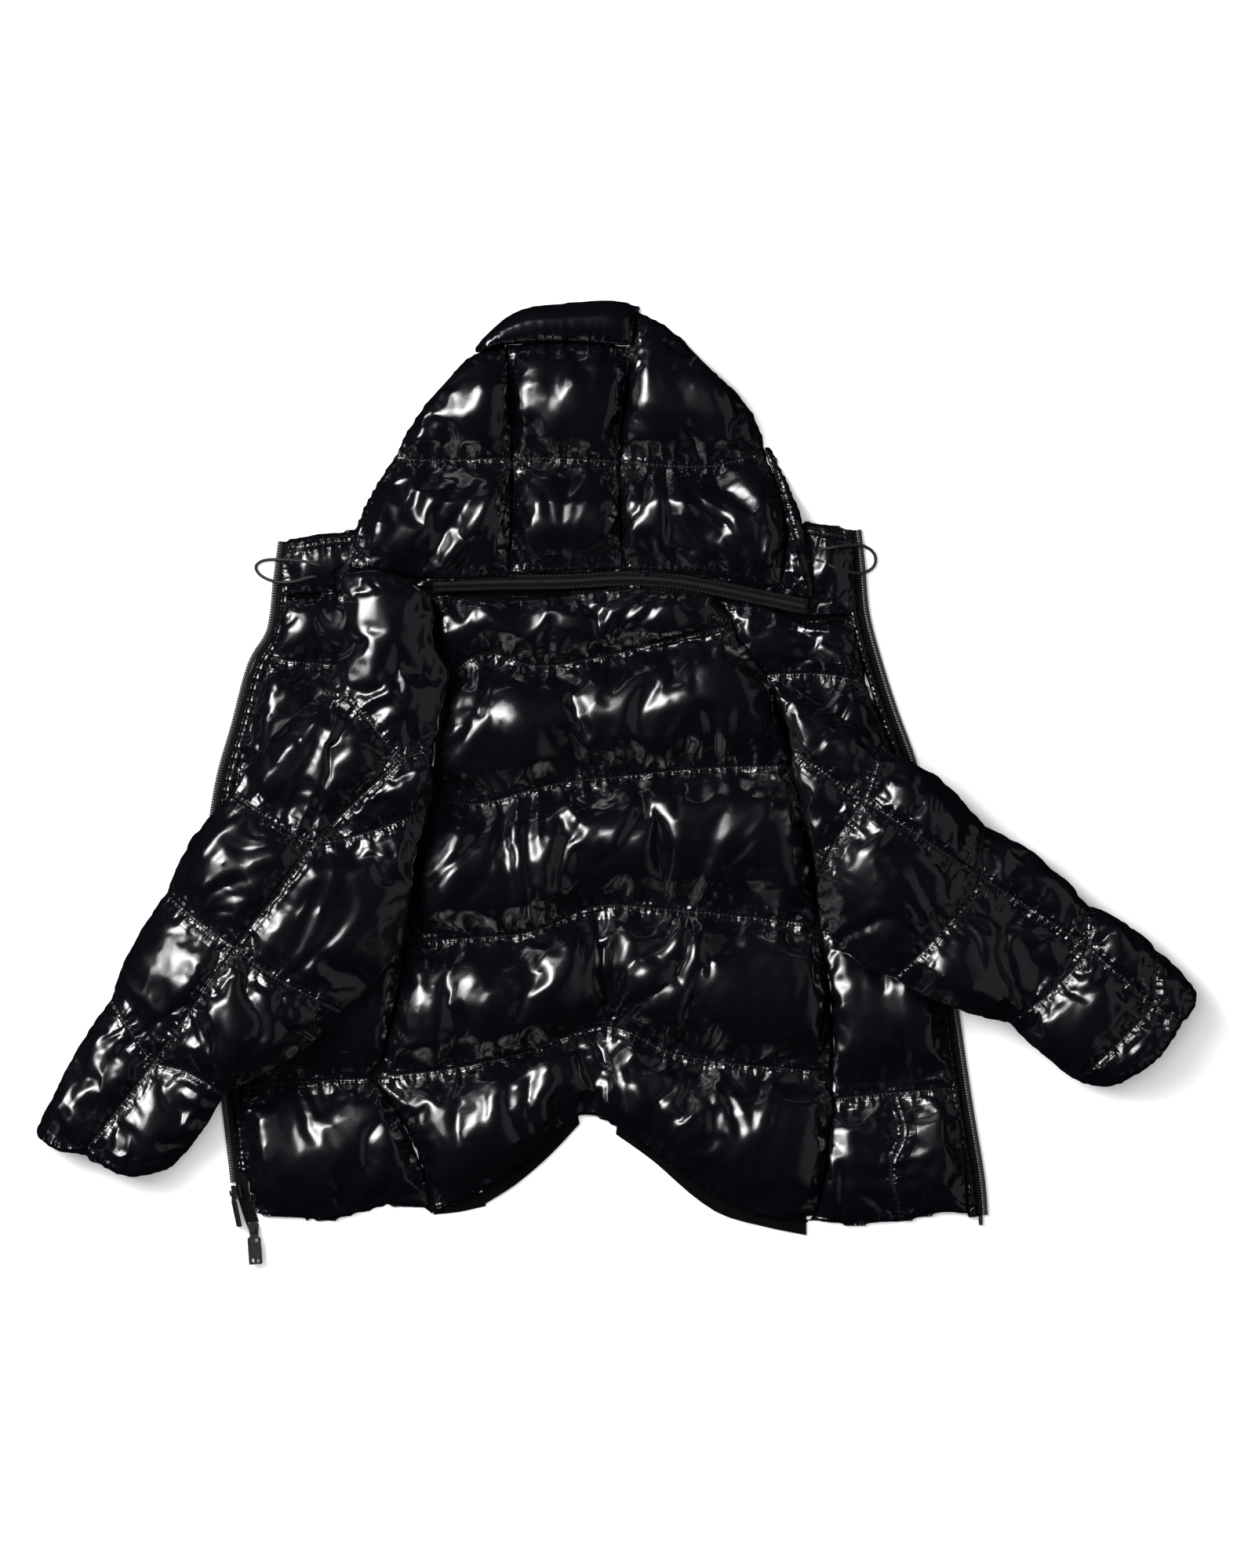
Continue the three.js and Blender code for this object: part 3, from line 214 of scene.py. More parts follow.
# %% Helpers for node trees
def new_finish(name, base, roughness, specular=0.5, coat=0.0, coat_roughness=0.1, metallic=0.0):
    finish = bpy.data.materials.new(name)
    finish.use_nodes = True
    shader = finish.node_tree.nodes["Principled BSDF"]
    shader.inputs["Base Color"].default_value = (*base, 1)
    shader.inputs["Roughness"].default_value = roughness
    shader.inputs["Specular IOR Level"].default_value = specular
    shader.inputs["Coat Weight"].default_value = coat
    shader.inputs["Coat Roughness"].default_value = coat_roughness
    shader.inputs["Metallic"].default_value = metallic
    return finish


def node(finish, kind, **settings):
    made = finish.node_tree.nodes.new(kind)
    for key, value in settings.items():
        if key in made.inputs:
            made.inputs[key].default_value = value
        else:
            setattr(made, key, value)
    return made


def join(finish, start, end):
    finish.node_tree.links.new(start, end)


def noise(finish, coordinates, scale, detail=2.0):
    made = node(finish, "ShaderNodeTexNoise", Scale=scale, Detail=detail)
    join(finish, coordinates, made.inputs["Vector"])
    return made.outputs["Fac"]


def arithmetic(finish, operation, first, second):
    made = node(finish, "ShaderNodeMath", operation=operation)
    for socket, value in zip(made.inputs, (first, second)):
        if isinstance(value, (int, float)):
            socket.default_value = value
        else:
            join(finish, value, socket)
    return made.outputs["Value"]


def graded(finish, value, low, high, low_out, high_out):
    made = node(finish, "ShaderNodeMapRange")
    join(finish, value, made.inputs["Value"])
    limits = {"From Min": low, "From Max": high, "To Min": low_out, "To Max": high_out}
    for key, number in limits.items():
        made.inputs[key].default_value = number
    return made.outputs["Result"]


def bumps(finish, layers):
    """A chain of bumps on the shader, each with the height of its relief in metres."""
    last = None
    for height, relief in layers:
        bump = node(finish, "ShaderNodeBump", Strength=1.0, Distance=relief)
        join(finish, height, bump.inputs["Height"])
        if last is not None:
            join(finish, last, bump.inputs["Normal"])
        last = bump.outputs["Normal"]
    shader = finish.node_tree.nodes["Principled BSDF"]
    join(finish, last, shader.inputs["Normal"])
    if shader.inputs["Coat Weight"].default_value > 0:
        join(finish, last, shader.inputs["Coat Normal"])


# %% [markdown]
# ### Glossy nylon shell
#
# The cloth is a thin black nylon, calendered and lacquered to a wet gloss. The lacquer is a clear coat
# over the threads. Tiny puckers run out from every sewn line: the shader draws the finest of them from
# two numbers that each point of the cloth carries, its place along the nearest seam and its distance
# from it.

# %% Shell finish
COARSE_PUCKERS = ((140.0, 22.0, 1.0), 0.014, 0.0042)  # scale along and away from a seam, reach, relief
FINE_PUCKERS = ((270.0, 60.0, 1.0), 0.006, 0.0032)
CREASE_WIDTH = 0.0030
CREASE_RELIEF = 0.0018


def shell_finish():
    base = (0.0020, 0.0016, 0.0030)
    finish = new_finish("glossy_nylon", base, 0.3, specular=0.5, coat=0.8, coat_roughness=0.06)
    shader = finish.node_tree.nodes["Principled BSDF"]
    place = node(finish, "ShaderNodeTexCoord").outputs["Object"]
    seam = node(finish, "ShaderNodeAttribute", attribute_name="seam_place").outputs["Vector"]
    split = node(finish, "ShaderNodeSeparateXYZ")
    join(finish, seam, split.inputs["Vector"])
    layers = []
    for scale, reach, relief in (COARSE_PUCKERS, FINE_PUCKERS):
        stretched = node(finish, "ShaderNodeMapping")
        stretched.inputs["Scale"].default_value = scale
        join(finish, seam, stretched.inputs["Vector"])
        pucker = noise(finish, stretched.outputs["Vector"], 1.0, 1.0)
        near = graded(finish, split.outputs["Y"], 0.001, reach, 1.0, 0.0)
        layers.append((arithmetic(finish, "MULTIPLY", pucker, near), relief))
    crease = graded(finish, split.outputs["Y"], 0.0, CREASE_WIDTH, 0.0, 1.0)
    crumple = noise(finish, place, 30.0, 2.0)
    grain = noise(finish, place, 900.0, 2.0)
    weave = node(finish, "ShaderNodeTexWave", Scale=620.0, Distortion=0.6, bands_direction="DIAGONAL")
    join(finish, place, weave.inputs["Vector"])
    roughness = graded(finish, noise(finish, place, 18.0, 3.0), 0.3, 0.7, 0.20, 0.32)
    join(finish, roughness, shader.inputs["Roughness"])
    layers += [(crease, CREASE_RELIEF), (crumple, 0.0005), (grain, 0.00004),
               (weave.outputs["Fac"], 0.00002)]
    bumps(finish, layers)
    return finish


finishes = {"shell": shell_finish()}

# %% [markdown]
# ### Lining, tape, metal and cord
#
# The lining edge and the tapes are matt: one is a soft twill, the other a ribbed woven band. Sliders
# and pulls are painted metal, a little rubbed, the teeth are moulded plastic, the cord is braided and
# the quilting thread is twisted. On the real jacket all of them are nearly as black as the shell.

# %% Matt cloth, tape, metal, teeth, cord, thread
def lining_finish():
    finish = new_finish("matt_lining", (0.003, 0.003, 0.004), 0.85, specular=0.03)
    place = node(finish, "ShaderNodeTexCoord").outputs["Object"]
    twill = node(finish, "ShaderNodeTexWave", Scale=420.0, Distortion=0.4, bands_direction="DIAGONAL")
    join(finish, place, twill.inputs["Vector"])
    colour = node(finish, "ShaderNodeValToRGB")
    colour.color_ramp.elements[0].color = (0.0008, 0.0008, 0.001, 1)
    colour.color_ramp.elements[1].color = (0.003, 0.003, 0.0035, 1)
    join(finish, twill.outputs["Fac"], colour.inputs["Fac"])
    join(finish, colour.outputs["Color"], finish.node_tree.nodes["Principled BSDF"].inputs["Base Color"])
    bumps(finish, [(noise(finish, place, 60.0, 3.0), 0.001), (twill.outputs["Fac"], 0.0001)])
    return finish


def tape_finish():
    finish = new_finish("woven_tape", (0.004, 0.004, 0.005), 0.75, specular=0.04)
    place = node(finish, "ShaderNodeTexCoord").outputs["Object"]
    ribs = node(finish, "ShaderNodeTexWave", Scale=260.0, Distortion=0.8, bands_direction="DIAGONAL")
    join(finish, place, ribs.inputs["Vector"])
    colour = node(finish, "ShaderNodeValToRGB")
    colour.color_ramp.elements[0].color = (0.0012, 0.0012, 0.0015, 1)
    colour.color_ramp.elements[1].color = (0.0055, 0.0055, 0.006, 1)
    join(finish, noise(finish, place, 400.0, 3.0), colour.inputs["Fac"])
    join(finish, colour.outputs["Color"], finish.node_tree.nodes["Principled BSDF"].inputs["Base Color"])
    bumps(finish, [(ribs.outputs["Fac"], 0.0002), (noise(finish, place, 900.0), 0.0001)])
    return finish


def metal_finish():
    finish = new_finish("painted_metal", (0.030, 0.029, 0.032), 0.32, specular=0.6, metallic=0.6)
    place = node(finish, "ShaderNodeTexCoord").outputs["Object"]
    wear = graded(finish, noise(finish, place, 350.0, 4.0), 0.35, 0.7, 0.24, 0.45)
    join(finish, wear, finish.node_tree.nodes["Principled BSDF"].inputs["Roughness"])
    bumps(finish, [(noise(finish, place, 700.0, 3.0), 0.00006)])
    return finish


def teeth_finish():
    finish = new_finish("moulded_teeth", (0.020, 0.020, 0.022), 0.28, specular=0.5)
    place = node(finish, "ShaderNodeTexCoord").outputs["Object"]
    bumps(finish, [(noise(finish, place, 500.0, 2.0), 0.00008)])
    return finish


def cord_finish():
    finish = new_finish("braided_cord", (0.016, 0.015, 0.018), 0.55, specular=0.4)
    place = node(finish, "ShaderNodeTexCoord").outputs["Object"]
    braid = node(finish, "ShaderNodeTexWave", Scale=330.0, Distortion=1.5, bands_direction="DIAGONAL")
    join(finish, place, braid.inputs["Vector"])
    bumps(finish, [(braid.outputs["Fac"], 0.0003), (noise(finish, place, 1200.0), 0.0001)])
    return finish


def thread_finish():
    finish = new_finish("dull_thread", (0.0060, 0.0056, 0.0070), 0.5, specular=0.4)
    place = node(finish, "ShaderNodeTexCoord").outputs["Object"]
    twist = node(finish, "ShaderNodeTexWave", Scale=900.0, Distortion=1.0, bands_direction="DIAGONAL")
    join(finish, place, twist.inputs["Vector"])
    bumps(finish, [(twist.outputs["Fac"], 0.0001)])
    return finish


finishes.update(thread=thread_finish(), lining=lining_finish(), tape=tape_finish(),
                hardware=metal_finish(), teeth=teeth_finish(), cord=cord_finish())
for cord in cords:
    cord.data.materials.append(finishes["cord"])
print("finishes:", sorted(finishes))

# %% [markdown]
# ## Sewn lines
#
# A puffer panel is two layers of cloth with down between them, sewn together along quilt lines. The
# lines below are the real seams, from left to right on the pattern table, in millimetres. Everything
# that makes the cloth look sewn is measured from them: where it can't swell, where it puckers, and
# where the thread runs.

# %% Quilt lines of each panel
BACK_SEAMS = [
    [(-194, 197), (-150, 199), (-85, 198), (0, 208), (62, 206), (99, 200)],
    [(-176, 113), (-140, 139), (-83, 125), (-20, 134), (62, 154), (120, 167)],
    [(-193, -14), (-143, -19), (-70, 0), (12, 10), (94, 18), (186, 21)],
    [(-223, -163), (-152, -160), (-86, -153), (-20, -127), (62, -131), (213, -146)],
    [(-257, -306), (-185, -299), (-102, -282), (-8, -253), (62, -282), (228, -302)],
    [(-196, -448), (-150, -431), (-88, -392), (-33, -346), (35, -383), (105, -432), (170, -456),
     (210, -452)],
]
BACK_BULGES = [(4, 4), (6, 16), (4, 6), (-6, 6), (-14, 10)]

LEFT_FRONT_SEAMS = [
    [(-347, 196), (-316, 200), (-270, 204)],
    [(-365, 134), (-330, 129), (-262, 124)],
    [(-401, 8), (-316, 2), (-190, -8)],
    [(-412, -156), (-316, -160), (-200, -163)],
    [(-396, -320), (-332, -311), (-240, -307)],
    [(-380, -450), (-332, -455), (-288, -455), (-240, -440), (-185, -448)],
]
RIGHT_FRONT_SEAMS = [
    [(104, 197), (150, 193), (199, 172), (248, 176)],
    [(138, 116), (225, 116), (263, 106)],
    [(170, 14), (245, 2), (303, 0)],
    [(195, -153), (270, -154), (329, -154)],
    [(210, -331), (285, -323), (357, -317)],
    [(195, -455), (223, -460), (308, -457), (338, -448), (371, -451)],
]
FRONT_BULGES = [(2, 2), (2, 2), (2, 2), (2, 2), (3, 3)]

COLLAR_SEAMS = [
    [(-347, 257), (-283, 267), (-150, 267), (0, 264), (150, 266), (199, 276), (249, 269)],
    [(-352, 198), (-290, 203), (-180, 206), (0, 206), (150, 200), (200, 178), (252, 180)],
]
COLLAR_BULGES = [(4, 4)]

HOOD_LEFT_SEAMS = [
    [(-152, 451), (-134, 458), (-110, 463)],
    [(-234, 343), (-184, 341), (-105, 344)],
    [(-282, 230), (-193, 216), (-108, 220)],
]
HOOD_LEFT_BULGES = [(9, 0), (7, 0)]
HOOD_CENTRE_SEAMS = [
    [(-116, 463), (-45, 466), (20, 461)],
    [(-110, 344), (-45, 342), (4, 340)],
    [(-114, 221), (-53, 224), (10, 226)],
]
HOOD_CENTRE_BULGES = [(0, 0), (0, 0)]
HOOD_RIGHT_SEAMS = [
    [(21, 498), (56, 479), (84, 452)],
    [(-4, 340), (98, 335), (157, 350)],
    [(4, 226), (90, 220), (174, 206)],
]
HOOD_RIGHT_BULGES = [(0, 17), (0, 13)]
BRIM_SEAMS = [
    [(-148, 458), (-117, 488), (-97, 499), (-50, 505), (-2, 508), (24, 502)],
    [(-144, 452), (-117, 460), (-53, 463), (24, 457)],
]
BAND_SEAMS = [
    [(150, 352), (162, 356)],
    [(166, 210), (206, 196)],
]

LEFT_SLEEVE_SEAMS = [
    [(-287, 219), (-238, 221), (-190, 194), (-180, 165), (-168, 124)],
    [(-305, 95), (-279, 89), (-221, 30), (-205, 34), (-186, 42)],
    [(-399, -9), (-357, -36), (-312, -59), (-262, -50), (-192, -24)],
    [(-469, -114), (-429, -145), (-395, -169), (-358, -197), (-285, -235)],
    [(-527, -224), (-503, -261), (-481, -288), (-447, -298), (-409, -320)],
    [(-607, -366), (-582, -382), (-555, -384), (-510, -409), (-468, -401)],
]
LEFT_SLEEVE_BULGES = [(-14, 2), (8, 4), (8, 34), (6, 10), (4, 4)]
RIGHT_SLEEVE_SEAMS = [
    [(160, 112), (175, 71), (184, 36), (182, 26), (180, 14)],
    [(274, 37), (266, 9), (257, -15), (230, -55), (208, -101)],
    [(385, -44), (380, -68), (381, -95), (335, -155), (291, -200)],
    [(493, -127), (491, -149), (492, -169), (455, -214), (412, -247)],
    [(566, -174), (563, -200), (560, -228), (529, -263), (482, -308)],
    [(609, -221), (603, -234), (590, -248), (568, -284), (525, -313)],
]
RIGHT_SLEEVE_BULGES = [(6, 8), (13, 24), (10, 8), (5, 2), (3, 3)]

# %% Smooth lines through the places
LINE_STEP = 2.0  # millimetres between the places of a smooth line


def smooth_line(places):
    """A centripetal spline through the places, as an array of places about a step apart."""
    points = np.array(places, dtype=float)
    if len(points) == 2:
        count = max(2, int(np.linalg.norm(points[1] - points[0]) / LINE_STEP))
        share = np.linspace(0, 1, count)[:, None]
        return points[0] * (1 - share) + points[1] * share
    before = 2 * points[0] - points[1]
    after = 2 * points[-1] - points[-2]
    points = np.vstack([before, points, after])
    line = []
    for a, b, c, d in zip(points, points[1:], points[2:], points[3:]):
        gaps = [max(1e-6, np.linalg.norm(end - start)) for start, end in ((a, b), (b, c), (c, d))]
        knots = np.cumsum([0] + [gap ** 0.5 for gap in gaps])
        count = max(2, int(np.linalg.norm(c - b) / LINE_STEP))
        for t in np.linspace(knots[1], knots[2], count, endpoint=False):
            ab = (a * (knots[1] - t) + b * (t - knots[0])) / (knots[1] - knots[0])
            bc = (b * (knots[2] - t) + c * (t - knots[1])) / (knots[2] - knots[1])
            cd = (c * (knots[3] - t) + d * (t - knots[2])) / (knots[3] - knots[2])
            abc = (ab * (knots[2] - t) + bc * (t - knots[0])) / (knots[2] - knots[0])
            bcd = (bc * (knots[3] - t) + cd * (t - knots[1])) / (knots[3] - knots[1])
            line.append((abc * (knots[2] - t) + bcd * (t - knots[1])) / (knots[2] - knots[1]))
    line.append(points[-2])
    return np.array(line)


def side_line(start, end, bulge):
    """The edge of a panel between two quilt lines, bowed outwards by the bulge."""
    start, end = np.array(start, float), np.array(end, float)
    along = end - start
    length = np.linalg.norm(along)
    outwards = np.array([along[1], -along[0]]) / length
    share = np.linspace(0, 1, max(2, int(length / LINE_STEP)))[:, None]
    return start + along * share + outwards * bulge * np.sin(np.pi * share)


def panel_sides(seams, bulges):
    """The left and the right edge of a panel, row by row."""
    sides = []
    for upper, lower, (left, right) in zip(seams, seams[1:], bulges):
        sides.append(side_line(upper[0], lower[0], left))
        sides.append(side_line(upper[-1], lower[-1], -right))
    return sides


print("places on a back seam:", len(smooth_line(BACK_SEAMS[0])))

# %% [markdown]
# ## Padded panels
#
# Each padded panel starts as its plain solid, which has the garment's true shape but no give. The
# solid is remeshed into even squares and becomes a cloth bag with air in it. It is pinned along its
# seams and where it rests, and the cloth is cut a little too large for the space, as a quilter cuts it,
# so it swells between the seams and gathers along them. The result is kept, and no cloth is left live.

# %% Even squares from a solid
EDGE_ALLOWANCE = 0.0022  # the remesh rounds thin edges off by about this much


def start_panel(name, node_names, square):
    bpy.ops.object.select_all(action="DESELECT")
    merged = bmesh.new()
    for node_name in node_names:
        merged.from_mesh(nodes[node_name].data)
    bmesh.ops.remove_doubles(merged, verts=merged.verts, dist=1e-6)
    merged.normal_update()
    for corner in merged.verts:
        out = corner.normal * EDGE_ALLOWANCE
        corner.co += Vector((out.x, out.y, max(0.0, out.z)))
    mesh = bpy.data.meshes.new(name)
    merged.to_mesh(mesh)
    merged.free()
    panel = bpy.data.objects.new(name, mesh)
    bpy.context.collection.objects.link(panel)
    panel.select_set(True)
    bpy.context.view_layer.objects.active = panel
    remesh = panel.modifiers.new("even squares", "REMESH")
    remesh.mode = "VOXEL"
    remesh.voxel_size = square
    bpy.ops.object.modifier_apply(modifier=remesh.name)
    return panel


def places_of(mesh):
    places = np.empty(len(mesh.vertices) * 3)
    mesh.vertices.foreach_get("co", places)
    return places.reshape(-1, 3)


def normals_of(mesh):
    normals = np.empty(len(mesh.vertices) * 3)
    mesh.vertices.foreach_get("normal", normals)
    return normals.reshape(-1, 3)


def put_places(mesh, places):
    mesh.vertices.foreach_set("co", places.ravel())
    mesh.update()


# %% Distance from the seams
LINE_OFFSET = 900  # millimetres added from line to line, so that no two lines carry the same pattern


def seam_places(places, lines):
    """For each place: its distance from the nearest line, how far along it that is, and which line."""
    samples, along, number = [], [], []
    for index, line in enumerate(lines):
        steps = np.linalg.norm(np.diff(line, axis=0), axis=1)
        samples.append(line)
        along.append(np.concatenate([[0], np.cumsum(steps)]) + LINE_OFFSET * index)
        number.append(np.full(len(line), index))
    samples = np.vstack(samples)
    along = np.concatenate(along)
    number = np.concatenate(number)
    tree = kdtree.KDTree(len(samples))
    for index, (x, y) in enumerate(samples):
        tree.insert(in_frame(x, y), index)
    tree.balance()
    distance = np.empty(len(places))
    nearest = np.empty(len(places), int)
    for index, (x, y, z) in enumerate(places):
        _, nearest[index], distance[index] = tree.find((x, y, 0))
    return distance, along[nearest] / 1000, number[nearest]


# %% Cloth with air in it
PANEL_FRAMES = 20
HELD_REACH = 0.0065  # the stitching still holds the cloth a little at this distance from a seam
HELD_FADE = 0.004
UNDERSIDE = -0.45  # where a normal's z is below this, the panel rests on something


def swell(panel, lines, excess, pressure, cap):
    """Fills a panel with air, with its seams and its underside held."""
    mesh = panel.data
    start = places_of(mesh)
    normals = normals_of(mesh)
    distance = seam_places(start, lines)[0]
    held = np.clip((HELD_REACH - distance) / HELD_FADE, 0, 1) * 0.95
    held = np.where(normals[:, 2] < UNDERSIDE, 1.0, held)
    group = panel.vertex_groups.new(name="sewn")
    for index, weight in enumerate(held):
        if weight > 0.01:
            group.add([index], float(weight), "REPLACE")
    cloth = panel.modifiers.new("cloth", "CLOTH")
    settings = cloth.settings
    settings.quality = 4
    settings.mass = 0.2
    settings.air_damping = 2.0
    settings.tension_stiffness = settings.compression_stiffness = 12.0
    settings.shear_stiffness = 4.0
    settings.bending_stiffness = 1.5
    settings.shrink_min = -excess
    settings.use_pressure = True
    settings.uniform_pressure_force = pressure
    settings.vertex_group_mass = group.name
    settings.effector_weights.gravity = 0.0
    cloth.collision_settings.use_collision = False
    for number_of_frame in range(1, PANEL_FRAMES + 1):
        bpy.context.scene.frame_set(number_of_frame)
    bpy.context.view_layer.objects.active = panel
    bpy.ops.object.modifier_apply(modifier=cloth.name)
    bpy.context.scene.frame_set(1)
    moved = places_of(mesh) - start
    length = np.linalg.norm(moved, axis=1, keepdims=True)
    put_places(mesh, start + moved * np.minimum(1, cap / np.maximum(length, 1e-9)))
    most, usual = length.max() * 1000, np.median(length) * 1000
    print(f"  swelled by up to {most:.1f} mm, {usual:.1f} mm as a rule")


# %% [markdown]
# ### Folds and gathers
#
# Down fills a row unevenly, so long folds lean across it from seam to seam. The largest ones are listed
# one by one, as the maker's hand left them, and the rest come from a seeded wave. Where a full, round
# bag is sewn down to a flat line, there is also more cloth than line, and it gathers into short puckers
# that run out from the seam and fade into the pillow. All are pushed into the mesh as ridges of uneven
# width, the puckers from the same two numbers that the shader uses.

# %% Uneven waves, and a push along the normals
WAVES = 5


def random_wave(along, across, width, seed):
    """Uneven ridges from -1 to 1 across a direction, about a width apart, that wander slowly."""
    rng = np.random.default_rng(seed)
    total = np.zeros_like(along)
    for wave in range(WAVES):
        wavelength = width * rng.uniform(0.7, 1.6)
        drift = rng.uniform(-0.6, 0.6)
        phase = rng.uniform(0, 2 * np.pi)
        sway = rng.uniform(0.6, 1.4) * np.sin(along * 2 * np.pi / (width * rng.uniform(5, 9)) + phase)
        total += np.sin(2 * np.pi * (along + drift * across) / wavelength + phase + sway * 2)
    return np.clip(total / 2.6, -1.2, 1.2)


def pushed_out(mesh, height):
    """Moves the upper side of a panel along its normals."""
    places = places_of(mesh)
    normals = normals_of(mesh)
    upper = np.clip((normals[:, 2] - UNDERSIDE) / 0.5, 0, 1)
    places += normals * (height * upper)[:, None]
    places[:, 2] = np.maximum(places[:, 2], 0.0)  # nothing goes below the table
    put_places(mesh, places)


# %% Places in the rows of a panel
def row_places(places, quilting):
    """For each place: its row, how far along the row it is in metres, and its share of the way down."""
    spots = places[:, :2]
    lines = [np.array([in_frame(x, y)[:2] for x, y in line]) for line in quilting]
    away, along, below = [], [], []
    for index, line in enumerate(lines):
        squares = ((spots[:, None] - line[None]) ** 2).sum(axis=2)
        nearest = squares.argmin(axis=1)
        steps = np.linalg.norm(np.diff(line, axis=0), axis=1)
        gap = spots - line[nearest]
        ahead = np.gradient(line, axis=0)
        turn = ahead[nearest, 0] * gap[:, 1] - ahead[nearest, 1] * gap[:, 0]
        other = lines[index + 1] if index + 1 < len(lines) else lines[index - 1]
        middle = other[len(other) // 2]
        close = ((line - middle) ** 2).sum(axis=1).argmin()
        gap = middle - line[close]
        towards = ahead[close, 0] * gap[1] - ahead[close, 1] * gap[0]
        side = np.sign(towards) * (1 if index + 1 < len(lines) else -1)
        away.append(np.sqrt(squares.min(axis=1)))
        along.append(np.concatenate([[0], np.cumsum(steps)])[nearest])
        below.append(turn * side > 0)
    row = np.clip(np.sum(below, axis=0) - 1, 0, len(lines) - 2)
    each = np.arange(len(places))
    upper, lower = np.array(away)[row, each], np.array(away)[row + 1, each]
    down = upper / np.maximum(upper + lower, 1e-6)
    along = np.array(along)
    return row, along[row, each] * (1 - down) + along[row + 1, each] * down, down


# %% Long folds
ROW_OFFSET = 1.7  # metres added from row to row, so that no two rows carry the same folds
FLAT_SIDE = 0.035  # folds grow from nothing over this distance from a free side


def lay_folds(panel, quilting, sides, strength, depth, width, seed):
    """Long leaning folds across each row: round ridges with narrow valleys, uneven along the row."""
    places = places_of(panel.data)
    row, along, down = row_places(places, quilting)
    strength = np.array(list(strength) + [1.0] * len(quilting))[row]
    along = along + row * ROW_OFFSET
    still = along * 0
    lean = 0.055 * random_wave(along, still, 0.16, seed + 1) + 0.012
    leaning = along + lean * (down - 0.5) * 2
    ridges = 2 * np.abs(random_wave(leaning, still, 2 * width, seed)) ** 0.75 - 1
    fine = 2 * np.abs(random_wave(leaning * 1.1, down * 0.03, 0.030, seed + 4)) ** 0.8 - 1
    start = random_wave(along, still, 0.11, seed + 2)
    reach = np.clip(0.72 + 0.9 * start * (0.5 - down) * 2, 0.12, 1.15)
    busy = np.clip(0.62 + 0.6 * random_wave(along, still, 0.19, seed + 3), 0.15, 1.2)
    rise = np.clip(np.minimum(down, 1 - down) / 0.13, 0, 1)
    inside = 1.0
    if sides:
        inside = np.clip(seam_places(places, sides)[0] / FLAT_SIDE, 0, 1)
    height = depth * ridges * reach * busy + 0.22 * depth * fine * np.minimum(busy, 1)
    pushed_out(panel.data, height * strength * rise * inside)


def raise_ridges(panel, ridges):
    """The listed folds: from a place to a place, each with its width and height."""
    places = places_of(panel.data)
    height = np.zeros(len(places))
    for from_x, from_y, to_x, to_y, width, rise in ridges:
        start = np.array(in_frame(from_x, from_y))[:2]
        run = np.array(in_frame(to_x, to_y))[:2] - start
        length = np.linalg.norm(run)
        gap = places[:, :2] - start
        share = gap @ run / length**2
        sway = 0.004 * np.sin(5 * share + from_x)
        across = (gap @ np.array([-run[1], run[0]]) / length + sway) * 1000 / width
        ends = np.exp(-((np.clip(np.abs(share - 0.5) - 0.3, 0, None) / 0.22) ** 2))
        height += rise / 1000 * np.exp(-(across**2)) * ends
    pushed_out(panel.data, height)


# %% Short puckers beside a seam
PUCKER_HEIGHT = 0.0013
PUCKER_REACH = 0.012
PUCKER_WIDTH = 0.011
GROOVE_DEPTH = 0.0022  # the thread pulls the cloth in by this much along the seam
GROOVE_WIDTH = 0.0035


def gather(panel, lines, seed):
    """Pushes short puckers out beside the lines, with a groove along each line."""
    distance, along, line = seam_places(places_of(panel.data), lines)
    fade = np.exp(-((distance / PUCKER_REACH) ** 1.3)) * np.clip(distance / 0.003, 0.35, 1)
    ridges = random_wave(along, distance * 0.3, PUCKER_WIDTH, seed)
    uneven = 0.65 + 0.35 * random_wave(along, distance * 0, PUCKER_WIDTH * 7, seed + 2)
    groove = GROOVE_DEPTH * np.exp(-((distance / GROOVE_WIDTH) ** 2))
    pushed_out(panel.data, PUCKER_HEIGHT * uneven * fade * ridges - groove)


def keep_seam_places(mesh, lines):
    """Gives the shader each point's place along the nearest seam and its distance from it."""
    distance, along, line = seam_places(places_of(mesh), lines)
    attribute = mesh.attributes.new("seam_place", "FLOAT_VECTOR", "POINT")
    values = np.stack([along, distance, line * 0.1], axis=1)
    attribute.data.foreach_set("vector", values.ravel())


# %% From solid to padded panel
def subdivide(panel):
    smoother = panel.modifiers.new("smoother", "SUBSURF")
    smoother.levels = smoother.render_levels = 1
    bpy.context.view_layer.objects.active = panel
    bpy.ops.object.modifier_apply(modifier=smoother.name)


EXCESS = 0.06  # the share by which the cloth is cut too large
PRESSURE = 4.0
SWELL_LIMIT = 0.012
FOLD_HEIGHT = 0.0065
FOLD_WIDTH = 0.034


